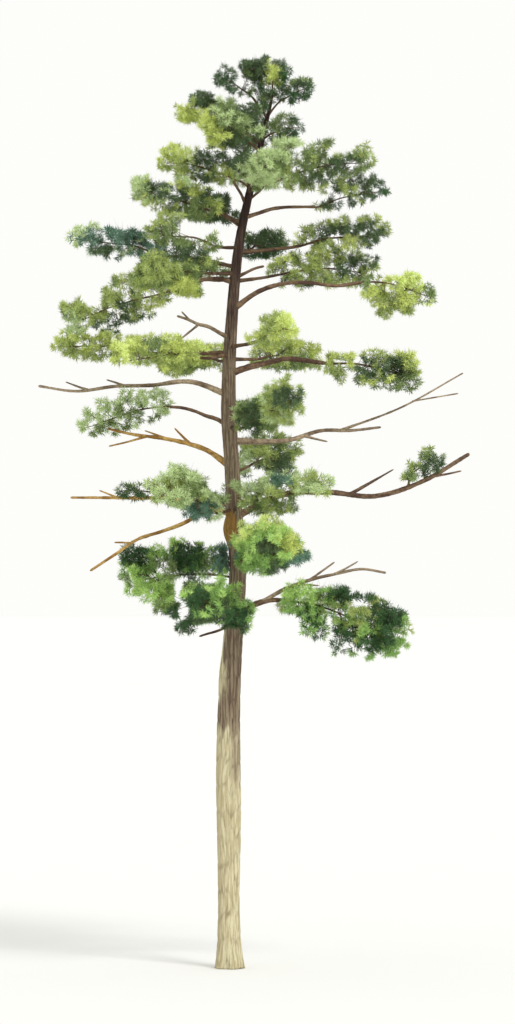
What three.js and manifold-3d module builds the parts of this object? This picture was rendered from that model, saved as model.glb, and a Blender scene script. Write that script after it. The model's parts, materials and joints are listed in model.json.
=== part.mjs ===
// A tall pine with a long clean trunk, open tiers of needle foliage and a few bare limbs.
// Millimetres, +Z up, origin at the middle of the flat cut at ground level. +X is to the right, -Y the front.
// Each foliage mass grows by one seeded rule: a stem, twigs that leave it in a spiral, and needle sprays.
import * as THREE from "three";
import { mergeVertices } from "three/addons/utils/BufferGeometryUtils.js";
import Module from "manifold-3d";

const wasm = await Module();
wasm.setup();
const { Vector3 } = THREE;

// Driving dimensions of the trunk
const TRUNK_TIP = 21000;
const TRUNK_SIDES = 12;
const TRUNK_RINGS = 21;
const FLARE = 105; // how far the root buttresses stand out at the ground
const FLARE_HEIGHT = 420;
const BUTTRESSES = 5;
const FLUTING = 0.035; // share of the radius

// The trunk's middle line and radius: it stands straight, bows in the crown and leans right at the top
const TRUNK = [
  { up: 0, across: 0, deep: 0, radius: 285 },
  { up: 1700, across: -10, deep: 10, radius: 258 },
  { up: 4300, across: -10, deep: 30, radius: 298 },
  { up: 6600, across: 20, deep: 10, radius: 262 },
  { up: 8200, across: 110, deep: -30, radius: 228 },
  { up: 9700, across: 210, deep: -20, radius: 200 },
  { up: 11400, across: 110, deep: 20, radius: 186 },
  { up: 13700, across: 0, deep: 40, radius: 174 },
  { up: 15600, across: 60, deep: 10, radius: 146 },
  { up: 17600, across: 250, deep: -20, radius: 114 },
  { up: 19600, across: 690, deep: 0, radius: 80 },
  { up: TRUNK_TIP, across: 1020, deep: 0, radius: 38 },
];

// Swellings of the trunk. The first is the burl under the two pale limbs on the left.
const SWELLINGS = [
  { up: 10600, bearing: 195, out: 85, tall: 330, spread: 55 },
  { up: 7150, bearing: 200, out: 30, tall: 420, spread: 70 },
  { up: 13350, bearing: 250, out: 34, tall: 500, spread: 80 },
];

// Limbs and twigs
const GAP = 0.3; // between neighbouring solids
const GUARD = 12; // how near a spray or twig may come to a limb that isn't its own
const BOUGH_SIDES = 6;
const BOUGH_STEPS = 5;
const BARE_SIDES = 5;
const FORK_STEPS = 2;
const FORK_SIDES = 4;
const FORK_SUNK = 40; // how far back inside its limb a fork's root lies
const FORK_SHARE = 0.8; // of its limb's radius
const FORK_TIP_RADIUS = 18;
const STEM_RADIUS = 17; // of a mass's stem
const STEM_GIRTH = 0.008; // and this share of its length on top
const STEM_TIP_RADIUS = 9;
const STEM_REACH = 0.86; // share of its mass's length that a stem runs through
const STEM_ARCH = 0.05; // of its length
const STEM_STEPS = 3;
const STEM_START = 120; // length of a stem's first run, straight on from its bough's tip
const BOUGH_TIP_SHARE = 0.6; // of the bough's radius
const BARE_TIP_RADIUS = 30;
const STEM_SIDES = 4;
const COLLAR = 0.3; // how much wider a limb is where it leaves the trunk, as a share of its radius
const COLLAR_SHARE = 0.1; // of the limb's length
const WANDER = 0.028; // sideways wandering, as a share of a limb's length

// Needle sprays
const SPRAY_LENGTH = 1400;
const SPRAY_KEEL = 0.05; // half the thickness of a spray, as a share of its length
const SPRAY_MIDDLE = 0.36; // where it is thickest, as a share of its length
const SPRAY_ROLL = 8; // degrees out of the plane of the stem
const ROLL_JITTER = 6;
const TEETH = [-76, -38, 0, 38, 76]; // degrees off the spray's own line
const TOOTH_REACH = [0.95, 1, 1, 1, 0.95]; // of the spray's length
const VALLEY_REACH = 0.76; // of the shorter tooth beside it
const SHORTEST_TOOTH = 70;
const REACH_STEP = 60; // how finely a tooth's reach is measured
const SPRAY_SIZES = [1, 0.85, 0.7, 0.55]; // tried in turn until the spray touches nothing
const SPIRAL = 137.5; // degrees from one spray to the next round the stem
const SPIRAL_JITTER = 24;
const TWIG_ANGLE = 88; // degrees off the stem
const STEM_BARE = 0.16; // share of a stem with no sprays
const LAST_TWIG = 0.94; // share of a stem where its last twig carries it on
const SPRAYS_PER_MM = 1 / 200; // of half a mass's length
const MIN_SPRAYS = 5;
const MAX_SPRAYS = 7;
const TWIG_RADIUS = 16;
const TWIG_SUNK = 12; // how far a twig's root lies past the middle of its stem
const TWIG_BARE = 0.14; // share of a twig's reach that has no needles
const FULLNESS = 2.5; // exponent of a mass's rounded space: 2 is an ellipsoid, more is fuller

// Boughs: the height at which each leaves the trunk, where its tip is, how far it arches up at its middle,
// how far it sways up and then down, its radius, and its forks. A fork leaves at a share of its limb's length,
// goes by an offset, and may have an arch and forks of its own.
const BOUGHS = [
  { name: "bough_3_right", from: 18180, tip: [2050, 100, 18450], arch: 90, radius: 54 },
  { name: "bough_4_left", from: 16980, tip: [-1500, 200, 17250], arch: 60, radius: 52 },
  { name: "bough_5_left", from: 16600, tip: [-1500, -250, 16380], arch: 190, radius: 62 },
  { name: "bough_5_right", from: 15950, tip: [3200, -250, 16600], arch: 300, sway: 120, radius: 64 },
  { name: "bough_6_right", from: 14400, tip: [2300, -250, 14650], arch: 180, radius: 85 },
  { name: "bough_7_left", from: 13100, tip: [-1420, 150, 13600], arch: 110, radius: 56 },
  {
    name: "bough_9_right", from: 10930, tip: [5820, -100, 12460], arch: -170, sway: 340, radius: 80,
    forks: [{ at: 0.5, by: [1000, -100, 600] }, { at: 0.84, by: [720, 120, 120] }],
  },
  { name: "bough_11_right", from: 8500, tip: [1200, -100, 8920], arch: 110, radius: 90 },
];

// Bare limbs: the same
const BARE_LIMBS = [
  {
    name: "bare_limb_6_left", from: 15250, tip: [-1250, -520, 15780], arch: 40, radius: 58,
    forks: [{ at: 0.62, by: [-520, 30, -470] }, { at: 0.8, by: [-150, -60, 190] }],
  },
  {
    name: "bare_limb_7_left", from: 13880, tip: [-4650, 700, 14120], arch: 140, sway: 190,
    radius: 66,
    forks: [{ at: 0.55, by: [-420, 260, 160] }, { at: 0.75, by: [-480, -240, 190] }],
  },
  {
    name: "bare_limb_8_right", from: 12780, tip: [3690, 330, 13110], arch: -60, sway: -50,
    radius: 76,
    forks: [
      { at: 0.74, by: [2950, 80, 1400], arch: -140, forks: [{ at: 0.6, by: [1080, 90, 170] }] },
      { at: 0.5, by: [520, -300, -160] },
    ],
  },
  {
    name: "bare_limb_8_left", from: 12130, tip: [-2930, 100, 13070], arch: 210, sway: 60,
    radius: 72,
    forks: [
      { at: 0.34, by: [-370, -60, 400] },
      { at: 0.7, by: [-880, -90, -250] },
      { at: 0.5, by: [-620, 300, 230] },
    ],
  },
  {
    name: "bare_limb_9_left", from: 11000, tip: [-3850, 350, 11400], arch: 160, sway: 40,
    radius: 66,
    forks: [{ at: 0.3, by: [-450, -330, 60] }, { at: 0.72, by: [-420, 260, 180] }],
  },
  {
    name: "bare_limb_10_left", parent: "bare_limb_9_left", share: 0.16, tip: [-3350, -480, 9630],
    arch: 70, sway: -70, radius: 52,
    forks: [{ at: 0.4, by: [-420, 260, -160] }, { at: 0.66, by: [-380, -260, 40] }],
  },
  {
    name: "bare_limb_11_right", parent: "bough_11_right", share: 0.62, tip: [3800, -200, 9580],
    arch: 300, radius: 50,
    forks: [
      { at: 0.4, by: [560, 130, 420] },
      { at: 0.6, by: [520, -130, 300] },
      { at: 0.3, by: [480, -200, -40] },
    ],
  },
];

// Foliage masses. Each grows from the tip of the bough it names, from the side of a limb, or from the trunk
// at a height. near and far are the ends of its space, wide and high are half its width and height, and lift
// raises the space above its stem.
const MASSES = [
  { name: "top_leader", tip: true, far: [1060, 0, 22040], wide: 600, high: 560, lift: 0 },
  {
    name: "top_left", from: 20600, near: [560, -60, 21100], far: [-330, -250, 21620], wide: 420,
    high: 340,
  },
  {
    name: "top_right", from: 20650, near: [1190, 40, 20960], far: [2080, 130, 21400], wide: 400,
    high: 300,
  },
  { name: "1_left", from: 20000, near: [100, 180, 20420], far: [-1280, 260, 20940], wide: 550, high: 450 },
  {
    name: "1_front", from: 19800, near: [480, -320, 20000], far: [-200, -1900, 20360], wide: 780,
    high: 780, lift: 0.1,
  },
  { name: "1_back", from: 19900, near: [620, 350, 20100], far: [150, 2000, 20450], wide: 700, high: 560 },
  {
    name: "1_right", from: 20050, near: [1000, -60, 20200], far: [1780, -240, 20370], wide: 420,
    high: 320,
  },
  { name: "2_left", from: 18900, near: [250, 80, 19080], far: [-1820, 250, 19600], wide: 850, high: 450 },
  {
    name: "2_front", from: 18750, near: [500, -350, 18940], far: [1000, -2450, 19320], wide: 720,
    high: 440,
  },
  { name: "2_right", from: 18850, near: [950, -80, 18980], far: [3580, -450, 19560], wide: 900, high: 560 },
  { name: "2_back", from: 18820, near: [450, 500, 19050], far: [950, 2700, 19450], wide: 800, high: 450 },
  {
    name: "3_left", from: 17950, near: [-150, -40, 18230], far: [-2350, -330, 18780], wide: 850,
    high: 530,
  },
  { name: "3_right", bough: "bough_3_right", far: [3980, 250, 18900], wide: 850, high: 440, lift: 0.55 },
  { name: "3_back", from: 18080, near: [80, 700, 18200], far: [-850, 3000, 18560], wide: 750, high: 440 },
  { name: "4_left_far", bough: "bough_4_left", far: [-3900, 350, 17720], wide: 750, high: 420, lift: 0.1 },
  {
    name: "4_left", from: 17450, near: [-300, -550, 17450], far: [-1800, -2700, 17650], wide: 700,
    high: 480,
  },
  { name: "4_back", from: 17430, near: [480, 850, 17420], far: [1150, 3100, 17600], wide: 560, high: 370 },
  { name: "4_right", from: 17330, near: [1600, 480, 17500], far: [3980, 900, 17840], wide: 800, high: 430 },
  {
    name: "5_left", from: 16830, near: [-450, -650, 16800], far: [-2200, -3200, 16480], wide: 780,
    high: 560,
  },
  {
    name: "5_left_far", bough: "bough_5_left", far: [-3880, -450, 15560], wide: 820, high: 600,
    lift: 0.05,
  },
  {
    name: "5_back", from: 16720, near: [-250, 900, 16700], far: [-1350, 3500, 16560], wide: 750,
    high: 470,
  },
  { name: "5_right", from: 16640, near: [850, 420, 16750], far: [3800, 1500, 16900], wide: 800, high: 490 },
  {
    name: "5_right_far", bough: "bough_5_right", far: [4980, -350, 16220], wide: 750, high: 500,
    lift: -0.15,
  },
  {
    name: "6_left_far", from: 14900, near: [-2000, 150, 14900], far: [-4380, 200, 15080], wide: 850,
    high: 430,
  },
  {
    name: "6_left_front", from: 14880, near: [-550, -800, 14750], far: [-2750, -3000, 14600],
    wide: 820, high: 500,
  },
  {
    name: "6_left_back", from: 14700, near: [-250, 900, 14740], far: [-1650, 3900, 14650],
    wide: 800, high: 520,
  },
  {
    name: "6_right_front", from: 15050, near: [600, -1100, 15120], far: [1520, -3900, 15380],
    wide: 500, high: 360,
  },
  {
    name: "6_right_back", from: 14750, near: [700, 700, 14780], far: [2150, 3300, 14780], wide: 700,
    high: 420,
  },
  {
    name: "6_right_far", bough: "bough_6_right", far: [4700, -400, 14220], wide: 800, high: 500,
    lift: 0.05,
  },
  { name: "7_left", bough: "bough_7_left", far: [-3650, 350, 13050], wide: 700, high: 500 },
  {
    name: "7_front", from: 13100, near: [350, -900, 13080], far: [1550, -3900, 13620], wide: 650,
    high: 660,
  },
  { name: "7_back", from: 13420, near: [350, 1000, 13400], far: [1050, 4000, 13550], wide: 750, high: 520 },
  { name: "8_back", from: 12050, near: [350, 800, 12100], far: [1500, 3500, 12380], wide: 700, high: 600 },
  {
    name: "9_front", from: 11100, near: [250, -700, 11200], far: [2400, -3100, 11520], wide: 850,
    high: 580,
  },
  {
    name: "9_left", from: 11150, near: [-300, -550, 11020], far: [-1750, -3100, 11550], wide: 750,
    high: 570,
  },
  {
    name: "9_left_far", beside: "bare_limb_9_left", share: 0.4, near: [-1700, 200, 11460],
    far: [-2750, 190, 11580], wide: 340, high: 190, lift: 0.1,
  },
  {
    name: "9_right_far", beside: "bough_9_right", share: 0.74, near: [4400, -100, 11950],
    far: [5200, -140, 12460], wide: 420, high: 360, lift: 0.1,
  },
  {
    name: "9_back", from: 11300, near: [-250, 1000, 11200], far: [-1350, 3900, 11420], wide: 750,
    high: 480,
  },
  {
    name: "10_front", from: 9930, near: [500, -850, 9950], far: [1380, -3700, 10060], wide: 780,
    high: 740,
  },
  { name: "10_back", from: 10020, near: [450, 950, 10020], far: [1300, 3900, 10150], wide: 800, high: 560 },
  {
    name: "11_left", from: 9300, near: [80, 60, 9460], far: [-2650, 250, 9360], wide: 1050,
    high: 820, lift: 0.05,
  },
  { name: "11_front", from: 8520, near: [50, -850, 8620], far: [-900, -3600, 8760], wide: 920, high: 580 },
  { name: "11_back", from: 8640, near: [-150, 950, 8700], far: [-1200, 3700, 8700], wide: 800, high: 540 },
  {
    name: "11_right", bough: "bough_11_right", far: [4450, -350, 7800], wide: 1000, high: 800,
    lift: -0.02,
  },
];

const COLOURS = {
  bark: 0x8a7560,
  paleWood: 0xb08d4f,
  greyWood: 0x6f5d50,
  needles: 0x5d7f3a,
};
const PALE_LIMBS = ["bare_limb_8_left", "bare_limb_9_left", "bare_limb_10_left"]; // dry, ochre wood
const SEED = 7;

const radians = (degrees) => (degrees * Math.PI) / 180;
const point = (list) => new Vector3(...list);

// A seeded random number from 0 to 1, so that the tree grows the same way each time
function seeded(seed) {
  let state = seed;
  return () => {
    state = (state * 1664525 + 1013904223) % 4294967296;
    return state / 4294967296;
  };
}

// A smooth value between the trunk's stations at a height
function trunkValue(key, up) {
  const last = TRUNK.length - 2;
  const i = Math.min(last, Math.max(0, TRUNK.findIndex((s) => s.up > up) - 1));
  const [a, b] = [TRUNK[up >= TRUNK_TIP ? last : i], TRUNK[(up >= TRUNK_TIP ? last : i) + 1]];
  const before = TRUNK[Math.max(0, TRUNK.indexOf(a) - 1)];
  const after = TRUNK[Math.min(last + 1, TRUNK.indexOf(b) + 1)];
  const t = Math.min(1, (up - a.up) / (b.up - a.up));
  const slopeA = ((b[key] - before[key]) / (b.up - before.up)) * (b.up - a.up);
  const slopeB = ((after[key] - a[key]) / (after.up - a.up)) * (b.up - a.up);
  const rise = a[key] * (2 * t ** 3 - 3 * t ** 2 + 1) + b[key] * (3 * t ** 2 - 2 * t ** 3);
  return rise + slopeA * (t ** 3 - 2 * t ** 2 + t) + slopeB * (t ** 3 - t ** 2);
}

const trunkMiddle = (up) => new Vector3(trunkValue("across", up), trunkValue("deep", up), up);

// The trunk's radius at a height and a bearing, with its buttresses, fluting and swellings
function trunkRadius(up, angle) {
  const lobe = 0.55 + 0.45 * Math.cos(BUTTRESSES * angle);
  const flutes = Math.sin(3 * angle + up / 1300) + 0.6 * Math.sin(5 * angle - up / 700);
  let radius = trunkValue("radius", up) * (1 + FLUTING * flutes);
  radius += FLARE * lobe * Math.exp(-up / FLARE_HEIGHT);
  for (const s of SWELLINGS) {
    const turn = Math.atan2(Math.sin(angle - radians(s.bearing)), Math.cos(angle - radians(s.bearing)));
    radius += s.out * Math.exp(-(((up - s.up) / s.tall) ** 2) - (turn / radians(s.spread)) ** 2);
  }
  return radius;
}

// A geometry with only its shared positions left
function bare(geometry) {
  geometry.deleteAttribute("normal");
  geometry.deleteAttribute("uv");
  return mergeVertices(geometry, 1e-5);
}

// Moves each vertex of a bare geometry to where the function puts it, and makes a solid of it
function shaped(geometry, place) {
  const at = geometry.getAttribute("position");
  const vertices = new Float32Array(at.count * 3);
  for (let i = 0; i < at.count; i++) {
    place(new Vector3().fromBufferAttribute(at, i)).toArray(vertices, 3 * i);
  }
  const triVerts = new Uint32Array(geometry.index.array);
  return new wasm.Manifold(new wasm.Mesh({ numProp: 3, vertProperties: vertices, triVerts }));
}

// The trunk, made from an upright cylinder whose rings lie level. grow widens it, to cut neighbours clear.
function trunkSolid(grow = 0) {
  const unit = bare(new THREE.CylinderGeometry(1, 1, 1, TRUNK_SIDES, TRUNK_RINGS));
  return shaped(unit, (v) => {
    const share = v.y + 0.5;
    const up = TRUNK_TIP * (0.7 * share + 0.3 * share ** 2);
    const middle = trunkMiddle(up);
    const angle = -Math.atan2(v.z, v.x);
    const radius = Math.hypot(v.x, v.z) * (trunkRadius(up, angle) + grow);
    const top = up + (share === 1 ? grow : 0);
    return new Vector3(middle.x + radius * Math.cos(angle), middle.y + radius * Math.sin(angle), top);
  });
}

// The points of a limb from its root to its tip: it arches and sways, and wanders a little from side to side
function limbPath(root, tip, rise, steps, random) {
  const run = tip.clone().sub(root);
  const side = new Vector3(-run.y, run.x, 0);
  if (side.length() < 1) side.set(1, 0, 0);
  side.normalize().multiplyScalar(WANDER * run.length());
  const phases = [random(), random(), random(), random()];
  const turn = 2 * Math.PI;
  const points = [];
  for (let i = 0; i <= steps; i++) {
    const t = i / steps;
    const fade = Math.sin(Math.PI * t);
    const wave = (a, b) => 0.6 * Math.sin(turn * (1.3 * t + a)) + 0.4 * Math.sin(turn * (2.7 * t + b));
    const at = root.clone().addScaledVector(run, t).addScaledVector(side, fade * wave(phases[0], phases[1]));
    at.z += rise.arch * 4 * t * (1 - t) + (rise.sway ?? 0) * Math.sin(turn * t);
    at.z += side.length() * 0.8 * fade * wave(phases[2], phases[3]);
    points.push(at);
  }
  return points;
}

// A limb's radius along it, from 0 at its root to 1 at its tip
function limbRadius(limb, t) {
  const taper = limb.radius + (limb.tipRadius - limb.radius) * t ** 0.8;
  return taper * (1 + COLLAR * Math.exp(-t / COLLAR_SHARE));
}

// A tapering solid along a limb's points, about an origin. grow makes it wider and longer at both ends.
function limbSolid(limb, origin, grow = 0) {
  const points = limb.points.map((p) => p.clone().sub(origin));
  const curve = new THREE.CatmullRomCurve3(points, false, "catmullrom");
  const steps = limb.points.length - 1;
  const frames = curve.computeFrenetFrames(steps, false);
  const pointed = limb.tipRadius === 0;
  const unit = pointed
    ? new THREE.ConeGeometry(1, 1, limb.sides, steps)
    : new THREE.CylinderGeometry(1, 1, 1, limb.sides, steps);
  return shaped(bare(unit), (v) => {
    const share = v.y + 0.5;
    const i = Math.round(share * steps);
    const across = new Vector3(v.x, 0, v.z);
    const full = pointed ? 1 - share : 1;
    const out = across.length() / Math.max(full, 1e-6);
    const angle = -Math.atan2(v.z, v.x);
    const radius = out > 0.5 ? limbRadius(limb, share) + grow : 0;
    const past = (i === steps ? grow : 0) - (i === 0 ? grow : 0);
    return curve.getPoint(i / steps)
      .addScaledVector(frames.tangents[i], past)
      .addScaledVector(frames.normals[i], radius * Math.cos(angle))
      .addScaledVector(frames.binormals[i], radius * Math.sin(angle));
  });
}

// A spray's rim in its own plane: the end of its twig, then round its teeth and the valleys between them
function sprayRim(spray) {
  const at = (degrees, reach) => {
    const turn = radians(degrees);
    return [spray.twig + reach * Math.cos(turn), reach * Math.sin(turn)];
  };
  const rim = [[-TWIG_SUNK, 0], [spray.twig, -TWIG_RADIUS]];
  TEETH.forEach((degrees, i) => {
    rim.push(at(degrees, spray.teeth[i]));
    if (i === TEETH.length - 1) return;
    const between = VALLEY_REACH * Math.min(spray.teeth[i], spray.teeth[i + 1]);
    rim.push(at((degrees + TEETH[i + 1]) / 2, between));
  });
  rim.push([spray.twig, TWIG_RADIUS]);
  return rim;
}

// A twig with its fan-shaped spray of needles: a cone whose rim is drawn out into the twig and the teeth, and
// whose base is pushed out into a keel
function spraySolid(spray, origin) {
  const rim = sprayRim(spray);
  const unit = bare(new THREE.ConeGeometry(1, 1, rim.length, 1));
  const root = spray.at.clone().sub(origin);
  const reach = Math.max(...spray.teeth);
  return shaped(unit, (v) => {
    const onAxis = Math.hypot(v.x, v.z) < 0.5;
    const turn = Math.atan2(v.x, v.z);
    const k = (Math.round((turn / (2 * Math.PI)) * rim.length) + rim.length) % rim.length;
    const [x, y] = onAxis ? [spray.twig + SPRAY_MIDDLE * reach, 0] : rim[k];
    const keel = onAxis ? Math.sign(v.y) * SPRAY_KEEL * reach : 0;
    return root.clone()
      .addScaledVector(spray.along, x)
      .addScaledVector(spray.side, y)
      .addScaledVector(spray.face, keel);
  });
}

// A mass's own space: its middle, its three directions and its half sizes
function spaceOf(near, far, mass) {
  const along = far.clone().sub(near).normalize();
  const side = new Vector3(-along.y, along.x, 0);
  if (side.length() < 0.2) side.set(1, 0, 0);
  side.normalize();
  const up = new Vector3().crossVectors(along, side);
  const middle = near.clone().add(far).multiplyScalar(0.5);
  middle.addScaledVector(up, (mass.lift ?? 0.3) * mass.high);
  return { along, side, up, middle, sizes: [far.distanceTo(near) / 2, mass.wide, mass.high] };
}

// 0 at the middle of a space, 1 on its surface
function depthIn(space, at) {
  const from = at.clone().sub(space.middle);
  const parts = [from.dot(space.along), from.dot(space.side), from.dot(space.up)];
  return parts.reduce((sum, part, i) => sum + Math.abs(part / space.sizes[i]) ** FULLNESS, 0);
}

const spaces = new Map();

// True if a point lies in a mass's space, and nearer to its middle than to that of any other mass
function inOwnSpace(name, at) {
  const own = depthIn(spaces.get(name), at);
  if (own >= 1) return false;
  for (const [other, space] of spaces) if (other !== name && depthIn(space, at) < own) return false;
  return true;
}

// How far a straight twig can run from a point before it leaves the mass's space
function reachOf(name, from, direction) {
  const step = REACH_STEP;
  let reach = 0;
  while (reach < SPRAY_LENGTH && inOwnSpace(name, from.clone().addScaledVector(direction, reach + step))) {
    reach += step;
  }
  return reach;
}

// A direction that leaves a line at an angle, turned round it
function leaving(along, side, up, off, round) {
  return along.clone().multiplyScalar(Math.cos(off))
    .addScaledVector(side, Math.sin(off) * Math.cos(round))
    .addScaledVector(up, Math.sin(off) * Math.sin(round))
    .normalize();
}

// A twig and spray that lie in the plane of their own direction and the stem's, then are rolled round it
function sprayAt(at, along, stemAlong, roll, twig) {
  const face = new Vector3().crossVectors(along, stemAlong);
  if (face.length() < 0.2) face.crossVectors(along, new Vector3(0, 0, 1));
  face.normalize().applyAxisAngle(along, roll);
  return { at, along, twig, face, side: new Vector3().crossVectors(face, along) };
}

// Point and direction at a share of the length of a list of points
function partWay(points, share) {
  const place = Math.min(share * (points.length - 1), points.length - 1.001);
  const i = Math.floor(place);
  const along = points[i + 1].clone().sub(points[i]);
  return { at: points[i].clone().addScaledVector(along, place - i), along: along.normalize() };
}

const guards = [];

// True if a solid touches nothing in a list of solids
function clearOf(solid, list) {
  const box = solid.boundingBox();
  return list.every((other) => {
    const apart = [0, 1, 2].some((k) => box.min[k] > other.box.max[k] || box.max[k] < other.box.min[k]);
    return apart || other.solid.intersect(solid).isEmpty();
  });
}

// True if a solid in the frame of origin touches no limb's guard and no finished mass but its own
function touchesNothing(solid, origin, name) {
  return clearOf(solid.translate(origin.toArray()), guards.filter((guard) => guard.name !== name));
}

function addGuard(name, solid) {
  guards.push({ name, solid, box: solid.boundingBox() });
}

// The limbs' lines: each starts inside the trunk or its parent limb and is cut clear of it later
const random = seeded(SEED);
const limbs = new Map();
for (const row of [...BOUGHS, ...BARE_LIMBS]) {
  const start = row.parent ? partWay(limbs.get(row.parent).points, row.share).at : trunkMiddle(row.from);
  const isBare = BARE_LIMBS.includes(row);
  const points = limbPath(start, point(row.tip), row, BOUGH_STEPS, random);
  const sides = isBare ? BARE_SIDES : BOUGH_SIDES;
  const tipRadius = isBare ? BARE_TIP_RADIUS : BOUGH_TIP_SHARE * row.radius;
  limbs.set(row.name, { ...row, points, isBare, sides, tipRadius });
}

// The stems' lines. A mass on a bough starts clear of the bough's tip, and one on the trunk starts inside it.
const stems = new Map();
for (const mass of MASSES) {
  mass.name = `foliage_${mass.name}`;
  const bough = limbs.get(mass.bough);
  let start = trunkMiddle(mass.tip ? TRUNK_TIP : mass.from ?? 0);
  if (mass.beside) start = partWay(limbs.get(mass.beside).points, mass.share).at;
  let radius = STEM_RADIUS + STEM_GIRTH * point(mass.far).distanceTo(start);
  const ends = [];
  if (mass.tip || bough) {
    const line = bough ? bough.points : [trunkMiddle(TRUNK_TIP - 400), start];
    const along = partWay(line, 1).along;
    if (bough) start = line[line.length - 1].clone();
    radius = bough ? bough.tipRadius : TRUNK[TRUNK.length - 1].radius;
    for (const out of [GAP, GAP + STEM_START]) ends.push(start.clone().addScaledVector(along, out));
    spaces.set(mass.name, spaceOf(start, point(mass.far), mass));
  } else {
    ends.push(start, point(mass.near));
    spaces.set(mass.name, spaceOf(point(mass.near), point(mass.far), mass));
  }
  const end = ends[1].clone().lerp(point(mass.far), STEM_REACH);
  const arch = STEM_ARCH * end.distanceTo(ends[1]);
  const points = [ends[0], ...limbPath(ends[1], end, { arch }, STEM_STEPS, random)];
  stems.set(mass.name, { points, radius, tipRadius: STEM_TIP_RADIUS, sides: STEM_SIDES });
}

const trunk = trunkSolid();
addGuard("trunk", trunkSolid(GUARD));
for (const [name, limb] of limbs) addGuard(name, limbSolid(limb, new Vector3(), GUARD));
for (const [name, stem] of stems) addGuard(name, limbSolid(stem, new Vector3(), GUARD));

// A limb's solid cut clear of what it grows from, about the limb's own root
function cutClear(limb, origin, parent) {
  return limbSolid(limb, origin).subtract(parent.translate(origin.clone().negate().toArray()));
}

// The largest body of a solid, so that no scrap of a cut is left
function largest(solid) {
  return solid.decompose().sort((a, b) => b.volume() - a.volume())[0];
}

// The solids of a limb's forks, and of their own forks
function forkSolids(limb, origin) {
  return (limb.forks ?? []).flatMap((row) => {
    const { at, along } = partWay(limb.points, row.at);
    const root = at.clone().addScaledVector(along, -FORK_SUNK);
    const tip = at.clone().add(point(row.by));
    const points = limbPath(root, tip, { arch: row.arch ?? 0 }, FORK_STEPS, random);
    const radius = FORK_SHARE * limbRadius(limb, row.at);
    const fork = { ...row, points, radius, tipRadius: FORK_TIP_RADIUS, sides: FORK_SIDES };
    return [limbSolid(fork, origin), ...forkSolids(fork, origin)];
  });
}

// A mass: its stem, then twigs that leave it in a spiral, each with a spray whose teeth end at the edge of
// the mass's space. A spray that touches a limb, a neighbour or another spray is made smaller or left out.
function growMass(mass, stem, origin) {
  const space = spaces.get(mass.name);
  const own = seeded(SEED + 101 * MASSES.indexOf(mass) + 1);
  const sprays = [];

  function addTwig(at, along, roll) {
    const twig = TWIG_BARE * Math.min(SPRAY_LENGTH, reachOf(mass.name, at, along));
    const spray = sprayAt(at, along, space.along, roll, twig);
    const middle = at.clone().addScaledVector(along, twig);
    const reaches = TEETH.map((degrees, i) => {
      const toward = along.clone().multiplyScalar(Math.cos(radians(degrees)))
        .addScaledVector(spray.side, Math.sin(radians(degrees)));
      return Math.min(SPRAY_LENGTH * TOOTH_REACH[i], reachOf(mass.name, middle, toward));
    });
    for (const size of SPRAY_SIZES) {
      spray.teeth = reaches.map((reach) => Math.max(SHORTEST_TOOTH, reach * size));
      const solid = spraySolid(spray, origin);
      if (!clearOf(solid, sprays) || !touchesNothing(solid, origin, mass.name)) continue;
      sprays.push({ solid, box: solid.boundingBox() });
      return;
    }
  }

  const count = Math.round(Math.max(MIN_SPRAYS, Math.min(MAX_SPRAYS, space.sizes[0] * SPRAYS_PER_MM)));
  for (let i = 0; i < count; i++) {
    const share = STEM_BARE + ((LAST_TWIG - STEM_BARE) * (i + 0.5)) / count;
    const { at } = partWay(stem.points, share);
    const round = radians(SPIRAL * i + SPIRAL_JITTER * own());
    const direction = leaving(space.along, space.side, space.up, radians(TWIG_ANGLE), round);
    addTwig(at, direction, radians(SPRAY_ROLL + ROLL_JITTER * (own() - 0.5)));
  }
  const end = partWay(stem.points, LAST_TWIG);
  addTwig(end.at, end.along, radians(SPRAY_ROLL));
  return largest(wasm.Manifold.union([stem.solid, ...sprays.map((spray) => spray.solid)]));
}

// A named mesh of a solid, placed at its own root
function meshOf(name, solid, origin, colour, roughness = 0.9) {
  const { numProp, vertProperties, triVerts } = solid.getMesh();
  const positions = new Float32Array((vertProperties.length / numProp) * 3);
  for (let i = 0; i < positions.length / 3; i++) {
    positions.set(vertProperties.subarray(i * numProp, i * numProp + 3), 3 * i);
  }
  const geometry = new THREE.BufferGeometry();
  geometry.setAttribute("position", new THREE.BufferAttribute(positions, 3));
  geometry.setIndex(new THREE.BufferAttribute(new Uint32Array(triVerts), 1));
  geometry.computeVertexNormals();
  const material = new THREE.MeshStandardMaterial({ color: colour, roughness, metalness: 0 });
  const mesh = new THREE.Mesh(geometry, material);
  mesh.name = name;
  mesh.position.copy(origin);
  return mesh;
}

const trunkClear = trunkSolid(GAP);
const woodGroup = new THREE.Group();
woodGroup.add(meshOf("trunk", trunk, new Vector3(), COLOURS.bark, 0.95));

for (const [name, limb] of limbs) {
  const origin = limb.points[0].clone().round();
  const parent = limb.parent ? limbSolid(limbs.get(limb.parent), new Vector3(), GAP) : trunkClear;
  let solid = cutClear(limb, origin, parent);
  solid = largest(wasm.Manifold.union([solid, ...forkSolids(limb, origin)]));
  const colour = PALE_LIMBS.includes(name) ? COLOURS.paleWood : COLOURS.greyWood;
  if (limb.isBare) addGuard(name, solid.translate(origin.toArray()));
  woodGroup.add(meshOf(name, solid, origin, colour));
}

const foliageGroup = new THREE.Group();
for (const mass of MASSES) {
  const stem = stems.get(mass.name);
  const origin = stem.points[0].clone().round();
  const parent = limbs.get(mass.bough ?? mass.beside);
  stem.solid = cutClear(stem, origin, parent ? limbSolid(parent, new Vector3(), GAP) : trunkClear);
  const solid = growMass(mass, stem, origin);
  addGuard(mass.name, solid.translate(origin.toArray()));
  foliageGroup.add(meshOf(mass.name, solid, origin, COLOURS.needles, 0.7));
}

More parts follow.
